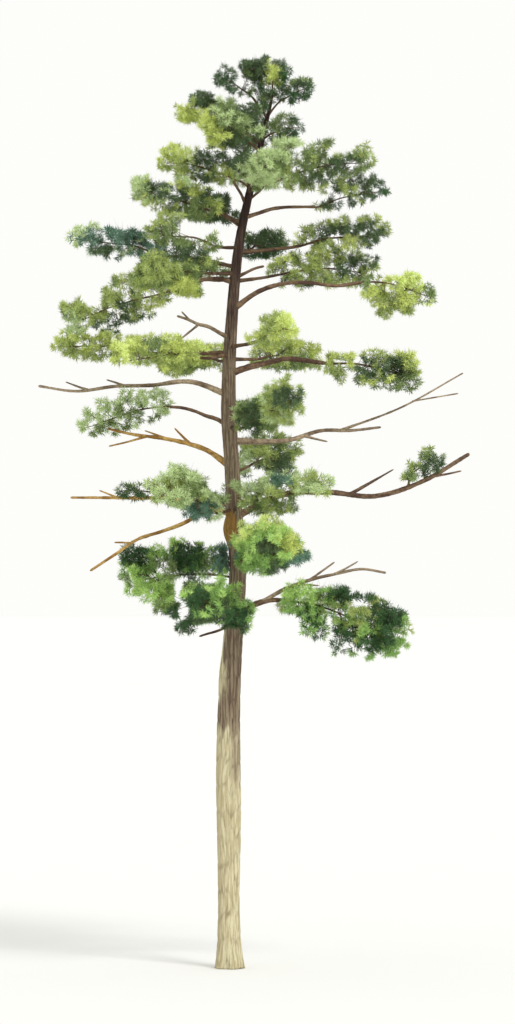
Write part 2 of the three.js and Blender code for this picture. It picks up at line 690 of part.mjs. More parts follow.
const pine = new THREE.Group();
pine.add(woodGroup, foliageGroup);
export default pine;
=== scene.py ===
"""Looks of a tall pine: furrowed bark, bare limbs, and needles on twigs that grow on from the boughs.

Metres, +Z up, origin at the middle of the flat cut at ground level, -Y to the front.
"""
import json
import logging
import math
from dataclasses import dataclass, field, fields, replace
from enum import Enum

import bpy
import numpy as np
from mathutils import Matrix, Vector

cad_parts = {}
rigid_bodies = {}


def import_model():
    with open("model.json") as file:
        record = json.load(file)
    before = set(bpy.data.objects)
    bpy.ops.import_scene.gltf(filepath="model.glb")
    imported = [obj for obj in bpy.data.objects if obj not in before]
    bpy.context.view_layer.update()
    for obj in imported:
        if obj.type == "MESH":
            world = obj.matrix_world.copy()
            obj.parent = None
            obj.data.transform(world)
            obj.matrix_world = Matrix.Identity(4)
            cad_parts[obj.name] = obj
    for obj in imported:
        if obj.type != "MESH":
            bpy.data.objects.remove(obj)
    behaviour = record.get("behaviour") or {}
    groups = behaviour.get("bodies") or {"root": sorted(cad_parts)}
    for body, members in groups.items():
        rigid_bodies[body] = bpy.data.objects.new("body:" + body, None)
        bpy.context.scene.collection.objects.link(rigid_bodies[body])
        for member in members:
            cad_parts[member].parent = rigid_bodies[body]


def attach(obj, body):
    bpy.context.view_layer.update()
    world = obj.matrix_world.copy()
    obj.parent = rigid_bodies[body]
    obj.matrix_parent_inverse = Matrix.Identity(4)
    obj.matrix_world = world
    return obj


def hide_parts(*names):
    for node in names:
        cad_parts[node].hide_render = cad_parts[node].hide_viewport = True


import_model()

Array = np.ndarray
Socket = bpy.types.NodeSocket
Triple = tuple[float, float, float]
Colour = tuple[int, int, int]

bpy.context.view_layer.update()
LOG = logging.getLogger("pine")

# The growing rule, shared with the solids
SEED = 7
BOUGH_STEPS = 5
FORK_STEPS = 2
FORK_SUNK = 0.04
FORK_SHARE = 0.8
FORK_TIP_RADIUS = 0.018
BOUGH_TIP_SHARE = 0.6
BARE_TIP_RADIUS = 0.03
STEM_RADIUS = 0.017
STEM_GIRTH = 0.008
STEM_TIP_RADIUS = 0.009
STEM_REACH = 0.86
STEM_ARCH = 0.05
STEM_STEPS = 3
STEM_POINTS = 60
STEM_START = 0.12
STEM_BARE = 0.16
COLLAR = 0.3
COLLAR_SHARE = 0.1
WANDER = 0.028
SPIRAL = math.radians(137.5)
SPIRAL_JITTER = math.radians(24)
FULLNESS = 2.5
LEADER_ROOT = 0.4

# The finer growth, which only the looks have
TWIG_STEP = 0.09
TWIG_LIMIT = 1.4
TWIG_BEND = 0.07
TWIG_SWAY = 0.035
TWIG_ANGLE = (84, 34, 5)
TWIG_EDGE = (0.9, 0.2)
TWIG_POINTS = 7
TWIG_SIDES = 4
TWIG_GIRTH = (0.003, 0.0065, 0.62)
SHORTEST_TWIG = 0.1
FEWEST_TWIGS = 14
SHOOT_STEP = 0.062
SHOOT_LIMIT = 0.4
SHOOT_SIDES = 3
SHOOT_GIRTH = (0.0034, 0.006, 0.6)
SHOOT_SPAN = (0.16, 0.82)
SHOOT_ANGLE = (50, 7)
SHOOT_TURN = 0.65
SHOOT_LENGTH = (0.12, 0.5, 1.05)
SHOOT_LIFT = 0.12
SHOOT_CURL = 0.1
SHORTEST_SHOOT = 0.05
SHOOT_ROOM = 1.12
WOOD_ROOM = 0.03
REACH_STEPS = 28
SKY_STEPS = 16
NEIGHBOURS = 5.0
TUFT_STEP = 0.08
TUFT_FROM = 0.22
TUFT_SCALE = (0.82, 1.12)
TUFT_ROOM = 0.09
TUFTS_A_METRE = 352
TUFT_CELL = 0.142
TUFTS_A_CELL = 2
BACK_SHARE = 0.9
SMALLEST_MASS = 0.8
LOBE_SIZE = 0.42
LOBE_DEPTH = 0.5
LOBE_ROOM = 0.6
LOBE_SPREAD = 0.75
LOBE_TWIGS = 7
LOBE_START = 7
WASH_SIZE = 0.62
WASH_LUMPS = 0.75
WASH_BLUR = 0.09
# Painted light and shade on the needles: how much height in a mass and nearness to its outside lighten a
# tuft's colour, and where the light and dark colours begin
PAINTED_LIGHT_RISE = 0.42
LIGHT_FROM = 0.22
DARK_BELOW = -0.2
PATCH_EDGE = 0.3
PATCH_BLUR = 0.17

# The meshes of limbs and their bark
LINE_POINTS = 400
RING_STEP = 0.035
FEWEST_RINGS = 10
PLATES_ROUND = 5
PLATE_LENGTH = 0.13
PLATE_EDGE = 0.4
KNOT_SIZE = 0.5
KNOT_DEPTH = 0.09
TIP_ROUND = 0.03
TIP_LEFT = 0.55
TIP_POINT = 0.6
LIMB_SIDES = 18
LIMB_RELIEF = 0.1
STUB_TIP = 0.7
STUB_SIDES = 14
STEM_SEAT = 0.04
STEM_SIDES = 8
STEM_RELIEF = 0.05
SEAT_DEPTH = 0.05
SEAT_SHARE = 0.3


class Wash(Enum):
    """Colours of needles, as red, green and blue of 255."""

    PALE = (167, 177, 112)
    LIME = (152, 162, 92)
    LEAF = (126, 138, 80)
    SAGE = (146, 160, 117)
    SPRING = (138, 163, 94)
    FERN = (112, 141, 78)
    MOSS = (97, 112, 69)
    TEAL = (76, 102, 86)
    DEEP = (65, 82, 54)
    DARK = (50, 76, 45)


# Short names of the colours, for the tables
PALE, LIME, LEAF, SAGE, SPRING, FERN, MOSS, TEAL, DEEP, DARK = Wash


@dataclass(frozen=True)
class Station:
    """The trunk's middle and radius at one height."""

    up: float
    across: float
    deep: float
    radius: float


@dataclass(frozen=True)
class Swelling:
    """A bulge of the trunk: its height, bearing in degrees, how far it stands out, and how it spreads."""

    up: float
    bearing: float
    out: float
    tall: float
    spread: float


@dataclass(frozen=True)
class Fork:
    """A fork of a bare limb, at a share of its length, going by an offset."""

    at: float
    by: Triple
    arch: float = 0
    forks: tuple["Fork", ...] = ()


@dataclass(frozen=True)
class LimbRow:
    """A bough or bare limb, from the trunk or from another limb to its tip."""

    name: str
    tip: Triple
    radius: float
    start: float = 0
    parent: str = ""
    share: float = 0
    arch: float = 0
    sway: float = 0
    forks: tuple[Fork, ...] = ()


@dataclass(frozen=True)
class MassRow:
    """A mass of foliage: what it grows from, its space, and its light, middle and dark colours, dealt out as
    painted light on its top and outside and painted shade below and inside.
    """

    name: str
    far: Triple
    wide: float
    high: float
    washes: tuple[Wash, Wash, Wash]
    start: float = 0
    near: Triple | None = None
    bough: str = ""
    beside: str = ""
    share: float = 0
    on_tip: bool = False
    lift: float = 0.3


@dataclass(frozen=True)
class Oval:
    """An upright oval seen from the front, that goes through the whole depth of the crown."""

    across: float
    up: float
    wide: float
    high: float

    def depth(self, points: Array) -> Array:
        """0 in the oval's middle and 1 on its rim, for each point, however deep."""
        return np.hypot((points[:, 0] - self.across) / self.wide, (points[:, 2] - self.up) / self.high)


@dataclass(frozen=True)
class Patch(Oval):
    """A place of the crown where the needles have a colour of their own."""

    wash: Wash


STATIONS = (
    Station(0, 0, 0, 0.285),
    Station(1.7, -0.01, 0.01, 0.258),
    Station(4.3, -0.01, 0.03, 0.298),
    Station(6.6, 0.02, 0.01, 0.262),
    Station(8.2, 0.11, -0.03, 0.228),
    Station(9.7, 0.21, -0.02, 0.2),
    Station(11.4, 0.11, 0.02, 0.186),
    Station(13.7, 0, 0.04, 0.174),
    Station(15.6, 0.06, 0.01, 0.146),
    Station(17.6, 0.25, -0.02, 0.114),
    Station(19.6, 0.69, 0, 0.08),
    Station(21, 1.02, 0, 0.038),
)

SWELLINGS = (
    Swelling(10.6, 195, 0.12, 0.33, 55),
    Swelling(7.15, 200, 0.03, 0.42, 70),
    Swelling(13.35, 250, 0.034, 0.5, 80),
)

BOUGH_ROWS = (
    LimbRow("bough_3_right", (2.05, 0.1, 18.45), 0.054, start=18.18, arch=0.09),
    LimbRow("bough_4_left", (-1.5, 0.2, 17.25), 0.052, start=16.98, arch=0.06),
    LimbRow("bough_5_left", (-1.5, -0.25, 16.38), 0.062, start=16.6, arch=0.19),
    LimbRow("bough_5_right", (3.2, -0.25, 16.6), 0.064, start=15.95, arch=0.3, sway=0.12),
    LimbRow("bough_6_right", (2.3, -0.25, 14.65), 0.085, start=14.4, arch=0.18),
    LimbRow("bough_7_left", (-1.42, 0.15, 13.6), 0.056, start=13.1, arch=0.11),
    LimbRow("bough_9_right", (5.82, -0.1, 12.46), 0.08, start=10.93, arch=-0.17, sway=0.34, forks=(
        Fork(0.5, (1, -0.1, 0.6)), Fork(0.84, (0.72, 0.12, 0.12)),
    )),
    LimbRow("bough_11_right", (1.2, -0.1, 8.92), 0.09, start=8.5, arch=0.11),
)

BARE_ROWS = (
    LimbRow("bare_limb_6_left", (-1.25, -0.52, 15.78), 0.058, start=15.25, arch=0.04, forks=(
        Fork(0.62, (-0.52, 0.03, -0.47)), Fork(0.8, (-0.15, -0.06, 0.19)),
    )),
    LimbRow("bare_limb_7_left", (-4.65, 0.7, 14.12), 0.066, start=13.88, arch=0.14, sway=0.19, forks=(
        Fork(0.55, (-0.42, 0.26, 0.16)), Fork(0.75, (-0.48, -0.24, 0.19)),
    )),
    LimbRow("bare_limb_8_right", (3.69, 0.33, 13.11), 0.076, start=12.78, arch=-0.06, sway=-0.05, forks=(
        Fork(0.74, (2.95, 0.08, 1.4), arch=-0.14, forks=(Fork(0.6, (1.08, 0.09, 0.17)),)),
        Fork(0.5, (0.52, -0.3, -0.16)),
    )),
    LimbRow("bare_limb_8_left", (-2.93, 0.1, 13.07), 0.072, start=12.13, arch=0.21, sway=0.06, forks=(
        Fork(0.34, (-0.37, -0.06, 0.4)), Fork(0.7, (-0.88, -0.09, -0.25)), Fork(0.5, (-0.62, 0.3, 0.23)),
    )),
    LimbRow("bare_limb_9_left", (-3.85, 0.35, 11.4), 0.066, start=11, arch=0.16, sway=0.04, forks=(
        Fork(0.3, (-0.45, -0.33, 0.06)), Fork(0.72, (-0.42, 0.26, 0.18)),
    )),
    LimbRow(
        "bare_limb_10_left", (-3.35, -0.48, 9.63), 0.052, parent="bare_limb_9_left", share=0.16, arch=0.07,
        sway=-0.07,
        forks=(
            Fork(0.4, (-0.42, 0.26, -0.16)), Fork(0.66, (-0.38, -0.26, 0.04)),
        ),
    ),
    LimbRow(
        "bare_limb_11_right", (3.8, -0.2, 9.58), 0.05, parent="bough_11_right", share=0.62, arch=0.3,
        forks=(
            Fork(0.4, (0.56, 0.13, 0.42)), Fork(0.6, (0.52, -0.13, 0.3)), Fork(0.3, (0.48, -0.2, -0.04)),
        ),
    ),
)

# Name, far end, half width, half height, colours, height where it leaves the trunk, and near end
MASS_ROWS = (
    MassRow("top_leader", (1.06, 0, 22.04), 0.6, 0.56, (DEEP, DEEP, DARK), on_tip=True, lift=0),
    MassRow("top_left", (-0.33, -0.25, 21.62), 0.42, 0.34, (MOSS, DEEP, DARK), 20.6, (0.56, -0.06, 21.1)),
    MassRow("top_right", (2.08, 0.13, 21.4), 0.4, 0.3, (MOSS, DEEP, DARK), 20.65, (1.19, 0.04, 20.96)),
    MassRow("1_left", (-1.28, 0.26, 20.94), 0.55, 0.45, (LIME, LEAF, MOSS), 20, (0.1, 0.18, 20.42)),
    MassRow(
        "1_front", (-0.2, -1.9, 20.36), 0.78, 0.78, (SAGE, MOSS, DEEP), 19.8, (0.48, -0.32, 20), lift=0.1,
    ),
    MassRow("1_back", (0.15, 2, 20.45), 0.7, 0.56, (MOSS, DEEP, DARK), 19.9, (0.62, 0.35, 20.1)),
    MassRow("1_right", (1.78, -0.24, 20.37), 0.42, 0.32, (MOSS, DEEP, DARK), 20.05, (1, -0.06, 20.2)),
    MassRow("2_left", (-1.82, 0.25, 19.6), 0.85, 0.45, (LIME, LEAF, DEEP), 18.9, (0.25, 0.08, 19.08)),
    MassRow("2_front", (1, -2.45, 19.32), 0.72, 0.44, (SAGE, SAGE, MOSS), 18.75, (0.5, -0.35, 18.94)),
    MassRow("2_right", (3.58, -0.45, 19.56), 0.9, 0.56, (SAGE, LEAF, MOSS), 18.85, (0.95, -0.08, 18.98)),
    MassRow("2_back", (0.95, 2.7, 19.45), 0.8, 0.45, (SAGE, LEAF, DEEP), 18.82, (0.45, 0.5, 19.05)),
    MassRow("3_left", (-2.35, -0.33, 18.78), 0.85, 0.53, (SAGE, LIME, MOSS), 17.95, (-0.15, -0.04, 18.23)),
    MassRow("3_right", (3.98, 0.25, 18.9), 0.85, 0.44, (LIME, LEAF, DEEP), bough="bough_3_right", lift=0.55),
    MassRow("3_back", (-0.85, 3, 18.56), 0.75, 0.44, (LEAF, MOSS, DEEP), 18.08, (0.08, 0.7, 18.2)),
    MassRow(
        "4_left_far", (-3.9, 0.35, 17.72), 0.75, 0.42, (SAGE, TEAL, DEEP), bough="bough_4_left", lift=0.1,
    ),
    MassRow("4_left", (-1.8, -2.7, 17.65), 0.7, 0.48, (LEAF, MOSS, DEEP), 17.45, (-0.3, -0.55, 17.45)),
    MassRow("4_back", (1.15, 3.1, 17.6), 0.56, 0.37, (MOSS, DEEP, DARK), 17.43, (0.48, 0.85, 17.42)),
    MassRow("4_right", (3.98, 0.9, 17.84), 0.8, 0.43, (LIME, LEAF, DEEP), 17.33, (1.6, 0.48, 17.5)),
    MassRow("5_left", (-2.2, -3.2, 16.48), 0.78, 0.56, (LEAF, LEAF, MOSS), 16.83, (-0.45, -0.65, 16.8)),
    MassRow(
        "5_left_far", (-3.88, -0.45, 15.56), 0.82, 0.6, (LEAF, LEAF, DEEP), bough="bough_5_left", lift=0.05,
    ),
    MassRow("5_back", (-1.35, 3.5, 16.56), 0.75, 0.47, (LEAF, MOSS, DEEP), 16.72, (-0.25, 0.9, 16.7)),
    MassRow("5_right", (3.8, 1.5, 16.9), 0.8, 0.49, (LIME, LEAF, DEEP), 16.64, (0.85, 0.42, 16.75)),
    MassRow(
        "5_right_far", (4.98, -0.35, 16.22), 0.75, 0.5, (PALE, LIME, LEAF), bough="bough_5_right",
        lift=-0.15,
    ),
    MassRow("6_left_far", (-4.38, 0.2, 15.08), 0.85, 0.43, (PALE, LIME, LEAF), 14.9, (-2, 0.15, 14.9)),
    MassRow("6_left_front", (-2.75, -3, 14.6), 0.82, 0.5, (PALE, LIME, LEAF), 14.88, (-0.55, -0.8, 14.75)),
    MassRow("6_left_back", (-1.65, 3.9, 14.65), 0.8, 0.52, (LIME, LEAF, MOSS), 14.7, (-0.25, 0.9, 14.74)),
    MassRow("6_right_front", (1.52, -3.9, 15.38), 0.5, 0.36, (PALE, LIME, LEAF), 15.05, (0.6, -1.1, 15.12)),
    MassRow("6_right_back", (2.15, 3.3, 14.78), 0.7, 0.42, (LIME, LEAF, MOSS), 14.75, (0.7, 0.7, 14.78)),
    MassRow(
        "6_right_far", (4.7, -0.4, 14.22), 0.8, 0.5, (LIME, LEAF, MOSS), bough="bough_6_right", lift=0.05,
    ),
    MassRow("7_left", (-3.65, 0.35, 13.05), 0.7, 0.5, (SAGE, SAGE, MOSS), bough="bough_7_left"),
    MassRow("7_front", (1.55, -3.9, 13.62), 0.65, 0.66, (SAGE, LEAF, MOSS), 13.1, (0.35, -0.9, 13.08)),
    MassRow("7_back", (1.05, 4, 13.55), 0.75, 0.52, (LEAF, MOSS, DEEP), 13.42, (0.35, 1, 13.4)),
    MassRow("8_back", (1.5, 3.5, 12.38), 0.7, 0.6, (LEAF, MOSS, DEEP), 12.05, (0.35, 0.8, 12.1)),
    MassRow("9_front", (2.4, -3.1, 11.52), 0.85, 0.58, (SAGE, LEAF, MOSS), 11.1, (0.25, -0.7, 11.2)),
    MassRow("9_left", (-1.75, -3.1, 11.55), 0.75, 0.57, (SAGE, SAGE, LEAF), 11.15, (-0.3, -0.55, 11.02)),
    MassRow(
        "9_left_far", (-2.75, 0.19, 11.58), 0.34, 0.19, (MOSS, DEEP, DARK), near=(-1.7, 0.2, 11.46),
        beside="bare_limb_9_left", share=0.4, lift=0.1,
    ),
    MassRow(
        "9_right_far", (5.2, -0.14, 12.46), 0.42, 0.36, (LEAF, MOSS, DEEP), near=(4.4, -0.1, 11.95),
        beside="bough_9_right", share=0.74, lift=0.1,
    ),
    MassRow("9_back", (-1.35, 3.9, 11.42), 0.75, 0.48, (LEAF, MOSS, DEEP), 11.3, (-0.25, 1, 11.2)),
    MassRow("10_front", (1.38, -3.7, 10.06), 0.78, 0.74, (PALE, SPRING, FERN), 9.93, (0.5, -0.85, 9.95)),
    MassRow("10_back", (1.3, 3.9, 10.15), 0.8, 0.56, (LIME, LEAF, MOSS), 10.02, (0.45, 0.95, 10.02)),
    MassRow(
        "11_left", (-2.65, 0.25, 9.36), 1.05, 0.82, (SPRING, FERN, MOSS), 9.3, (0.08, 0.06, 9.46), lift=0.05,
    ),
    MassRow("11_front", (-0.9, -3.6, 8.76), 0.92, 0.58, (SPRING, FERN, DEEP), 8.52, (0.05, -0.85, 8.62)),
    MassRow("11_back", (-1.2, 3.7, 8.7), 0.8, 0.54, (FERN, FERN, DARK), 8.64, (-0.15, 0.95, 8.7)),
    MassRow("11_right", (4.45, -0.35, 7.8), 1, 0.8, (LEAF, FERN, DARK), bough="bough_11_right", lift=-0.02),
)

# Dead stubs of old limbs on the trunk
STUB_ROWS = (
    LimbRow("stub_3_left", (0.1, -0.2, 19.05), 0.04, start=18.45, arch=0.05),
    LimbRow("stub_3_right", (0.9, -0.16, 19), 0.032, start=18.6, arch=-0.04),
    LimbRow("stub_5_right", (0.85, -0.12, 17), 0.045, start=16.7, arch=0.04),
    LimbRow("stub_11_left", (-0.72, -0.22, 8.04), 0.038, start=8.36, arch=-0.03),
    LimbRow("stub_12_back", (0.3, 0.6, 7.7), 0.034, start=7.5, arch=0.02),
)

OCHRE_LIMBS = ("bare_limb_8_left", "bare_limb_9_left", "bare_limb_10_left")

# Where sky shows through
SKY_GAPS = tuple(Oval(*row) for row in (
    (0.27, 21.47, 0.12, 0.26), (-0.1, 21.1, 0.32, 0.1), (-1.13, 21.02, 0.2, 0.13), (2.75, 19.75, 0.3, 0.08),
    (2.46, 19.71, 0.15, 0.12), (3.66, 19.29, 0.16, 0.14), (-1.62, 19.17, 0.34, 0.2),
    (0.27, 18.92, 0.35, 0.1), (-0.34, 18.93, 0.2, 0.08), (2.16, 18.66, 0.3, 0.14), (0.15, 18.6, 0.2, 0.22),
    (-0.68, 17.98, 0.42, 0.17), (-0.35, 18.02, 0.35, 0.15), (-0.82, 17.74, 0.42, 0.16),
    (-0.17, 17.64, 0.15, 0.15), (-3.6, 17.25, 0.35, 0.12), (-2.35, 17.0, 0.22, 0.3),
    (-0.4, 16.56, 0.34, 0.3), (-3.32, 16.2, 0.28, 0.22), (3.9, 16.87, 0.4, 0.12), (4.68, 15.9, 0.2, 0.18),
    (-3.3, 15.43, 0.2, 0.08), (-2.45, 15.4, 0.25, 0.08), (1.68, 15.65, 0.15, 0.3), (0.5, 15.5, 0.3, 0.2),
    (-0.7, 15.25, 0.5, 0.12), (2.85, 15.0, 0.45, 0.14), (-2.3, 14.42, 0.7, 0.16), (-3.6, 14.62, 0.4, 0.1),
    (-0.6, 14.45, 0.4, 0.15), (0.45, 14.04, 0.42, 0.32), (1.95, 13.85, 0.15, 0.25), (1.75, 13.2, 0.25, 0.14),
    (1.75, 12.15, 0.16, 0.2), (0.63, 11.95, 0.13, 0.22), (0.78, 12.0, 0.15, 0.14), (2.62, 11.95, 0.2, 0.2),
    (-1.85, 11.95, 0.2, 0.14), (-0.36, 11.75, 0.24, 0.26), (-1.4, 11.08, 0.4, 0.1), (4.46, 12.41, 0.16, 0.2),
    (5.04, 12.58, 0.12, 0.2), (1.96, 11.33, 0.42, 0.15), (2.35, 11.33, 0.3, 0.12), (1.6, 10.77, 0.22, 0.18),
    (1.87, 10.47, 0.16, 0.3), (-0.5, 9.37, 0.25, 0.12), (-1.24, 9.15, 0.14, 0.34), (-1.05, 8.68, 0.18, 0.24),
    (-2.45, 8.82, 0.35, 0.2), (2.42, 8.43, 0.1, 0.17), (1.45, 8.33, 0.32, 0.28), (3.2, 8.78, 0.3, 0.07),
    (4.35, 7.62, 0.3, 0.18), (-0.47, 8.3, 0.36, 0.14), (4.44, 8.74, 0.24, 0.2),
))

# Where a mass reaches out past the rest of it
LOBES = {
    "top_leader": ((0.4, 21.8, 0.14, 0.16), (1.3, 21.55, 0.18, 0.1)),
    "top_left": ((0.75, 20.95, 0.22, 0.22),),
    "1_left": ((-1.12, 21.36, 0.15, 0.14), (-0.62, 21.07, 0.24, 0.2), (-1.1, 20.62, 0.2, 0.13)),
    "1_front": ((-0.55, 20.3, 0.18, 0.28), (-0.3, 19.93, 0.26, 0.22)),
    "2_front": ((1.4, 19.87, 0.42, 0.14),),
    "2_right": ((2.45, 19.98, 0.32, 0.14),),
    "3_left": ((-2.2, 19.02, 0.16, 0.18),),
    "4_left_far": ((-2.4, 17.8, 0.3, 0.14),),
    "5_left": ((-2.8, 16.5, 0.2, 0.2),),
    "5_right_far": ((4.02, 15.86, 0.44, 0.26), (4.5, 16.74, 0.14, 0.12)),
    "5_left_far": ((-3.98, 15.83, 0.14, 0.3),),
    "6_right_far": ((4.2, 14.72, 0.5, 0.22), (4.28, 14.3, 0.25, 0.2)),
    "9_left": ((-1.25, 12.04, 0.24, 0.14),),
    "9_right_far": ((4.36, 11.93, 0.16, 0.12),),
    "11_left": (
        (-2.4, 10.02, 0.34, 0.28), (-1.2, 10.17, 0.5, 0.22), (-0.35, 10.1, 0.34, 0.22),
        (-0.9, 9.8, 0.3, 0.2), (-1.42, 8.62, 0.22, 0.26),
    ),
    "11_front": ((-1.05, 8.3, 0.26, 0.14), (0.42, 8.32, 0.18, 0.24)),
    "10_front": ((1.85, 9.98, 0.2, 0.2),),
    "11_right": (
        (2.75, 9.08, 0.24, 0.14), (3.3, 8.95, 0.3, 0.13), (2.1, 8.3, 0.26, 0.3), (3.0, 8.2, 0.46, 0.24),
        (3.68, 7.72, 0.36, 0.26), (4.1, 8.44, 0.36, 0.22),
    ),
}

# Where needles are darker, bluer or brighter than the rest of their mass
PATCHES = tuple(Patch(*row) for row in (
    (1.05, 21.62, 0.2, 0.34, LIME), (-0.62, 21.1, 0.3, 0.26, DEEP), (-1.05, 20.75, 0.26, 0.26, LIME),
    (-0.3, 19.65, 0.75, 0.25, DEEP), (-1.75, 18.85, 0.4, 0.22, DEEP), (-0.95, 17.22, 0.5, 0.2, DEEP),
    (0.95, 17.8, 0.4, 0.22, DEEP), (2.2, 17.0, 0.8, 0.3, LEAF), (2.95, 17.0, 0.35, 0.22, DEEP),
    (2.33, 17.8, 0.3, 0.18, DEEP), (3.42, 17.85, 0.35, 0.18, DEEP), (2.8, 19.45, 0.5, 0.16, DEEP),
    (2.15, 19.1, 0.3, 0.15, DEEP), (3.66, 18.85, 0.28, 0.18, DARK), (-0.35, 18.73, 0.3, 0.2, DEEP),
    (-1.2, 18.68, 0.26, 0.17, DEEP), (-0.58, 20.31, 0.3, 0.4, LIME), (4.85, 16.3, 0.24, 0.2, MOSS),
    (-2.6, 15.55, 0.7, 0.2, DEEP), (3.34, 14.52, 0.26, 0.22, DEEP), (3.95, 14.52, 0.28, 0.24, DEEP),
    (0.55, 13.3, 0.3, 0.35, DEEP), (1.45, 13.75, 0.35, 0.2, DEEP), (-0.75, 11.1, 0.5, 0.3, TEAL),
    (-0.82, 11.6, 0.2, 0.22, MOSS), (1.23, 11.8, 0.24, 0.2, TEAL), (1.35, 12.2, 0.3, 0.25, DEEP),
    (0.98, 10.22, 0.32, 0.17, DEEP), (1.14, 9.7, 0.24, 0.22, DEEP), (1.72, 10.0, 0.34, 0.3, TEAL),
    (-0.12, 9.98, 0.32, 0.42, TEAL), (-1.0, 9.95, 0.4, 0.34, DARK), (-2.25, 9.98, 0.34, 0.34, DARK),
    (-0.75, 8.95, 0.28, 0.3, DARK), (-1.24, 8.5, 0.4, 0.24, DARK), (0.18, 8.55, 0.28, 0.2, DARK),
    (1.7, 9.1, 0.42, 0.3, SPRING), (3.86, 8.6, 0.34, 0.32, DARK), (2.75, 8.0, 0.34, 0.26, DARK),
    (2.95, 9.05, 0.6, 0.2, DARK), (-1.05, 16.45, 0.36, 0.18, LIME), (-1.8, 16.05, 0.3, 0.18, LIME),
    (1.45, 10.3, 0.3, 0.26, LIME), (-0.35, 20.04, 0.28, 0.22, LIME), (-1.85, 9.2, 0.6, 0.35, SPRING),
    (-1.15, 11.35, 0.3, 0.2, SAGE), (2.75, 17.6, 0.3, 0.18, LIME), (1.6, 19.72, 0.26, 0.12, MOSS),
    (2.45, 20.0, 0.3, 0.12, MOSS), (0.42, 12.3, 0.2, 0.3, SAGE), (0.5, 20.8, 0.34, 0.34, DEEP),
    (0.2, 19.46, 0.3, 0.18, DEEP), (1.95, 11.6, 0.34, 0.16, SAGE), (-1.05, 19.75, 0.3, 0.16, PALE),
    (0.9, 19.05, 0.4, 0.16, SAGE), (0.95, 15.6, 0.24, 0.34, LEAF), (-1.75, 15.05, 0.22, 0.2, MOSS),
    (-3.75, 15.62, 0.28, 0.26, SAGE), (-2.2, 18.95, 0.2, 0.34, SAGE), (3.35, 16.66, 0.3, 0.18, MOSS),
    (-1.55, 9.72, 0.3, 0.18, MOSS), (3.35, 7.86, 0.3, 0.24, DARK), (-1.75, 18.4, 0.3, 0.14, LEAF),
    (-0.95, 9.45, 0.24, 0.22, DEEP), (-2.85, 17.72, 0.75, 0.24, TEAL),
))


class Draws:
    """Seeded random numbers from 0 to 1, in the same order as the solids' own."""

    def __init__(self, seed: int) -> None:
        """Starts the run.

        Args:
            seed: The first state.
        """
        self.state = seed

    def next(self) -> float:
        """Returns the next number of the run."""
        self.state = (self.state * 1664525 + 1013904223) % 4294967296
        return self.state / 4294967296


class Noise:
    """Smooth seeded noise and cells, worked out on arrays."""

    @staticmethod
    def lattice(x: Array, y: Array, z: Array, seed: int) -> Array:
        """Gives each whole-numbered place its own number.

        Args:
            x: First coordinates, whole numbers.
            y: Second coordinates.
            z: Third coordinates.
            seed: Which set of numbers.

        Returns:
            Numbers from 0 to 1.
        """
        mixed = (
            x.astype(np.int64) * 374761393 + y.astype(np.int64) * 668265263
            + z.astype(np.int64) * 2147483647 + seed * 974634777
        ) & 0xFFFFFFFF
        mixed = ((mixed ^ (mixed >> 13)) * 1274126177) & 0xFFFFFFFF
        return (mixed ^ (mixed >> 16)) / 4294967296.0

    @staticmethod
    def smooth(points: Array, size: float, seed: int) -> Array:
        """Smooth noise in space.

        Args:
            points: Places, one a row.
            size: Width of one lump.
            seed: Which noise.

        Returns:
            Values from -1 to 1, one a place.
        """
        scaled = points / size
        low = np.floor(scaled)
        part = scaled - low
        part = part * part * (3 - 2 * part)
        total = np.zeros(len(points))
        for corner in range(8):
            step = np.array([corner & 1, corner >> 1 & 1, corner >> 2 & 1])
            weight = np.prod(np.where(step, part, 1 - part), axis=1)
            place = low + step
            total += weight * Noise.lattice(place[:, 0], place[:, 1], place[:, 2], seed)
        return 2 * total - 1

    @staticmethod
    def plates(around: Array, along: Array, count: int, seed: int) -> Array:
        """How deep inside its own bark plate each place lies.

        Args:
            around: Places round the limb, in plates, wrapping at count.
            along: Places along the limb, in plates.
            count: How many plates go round.
            seed: Which plates.

        Returns:
            0 in the furrow between two plates, rising to about 1 in a plate's middle.
        """
        cell_u, cell_v = np.floor(around), np.floor(along)
        first = np.full(around.shape, 9.0)
        second = np.full(around.shape, 9.0)
        for du in (-1, 0, 1):
            for dv in (-1, 0, 1):
                u, v = cell_u + du, cell_v + dv
                shift_u = 0.15 + 0.7 * Noise.lattice(u % count, v, v * 0, seed)
                shift_v = 0.15 + 0.7 * Noise.lattice(u % count, v, v * 0 + 1, seed)
                away = np.hypot(u + shift_u - around, v + shift_v - along)
                second = np.minimum(second, np.maximum(first, away))
                first = np.minimum(first, away)
        return second - first


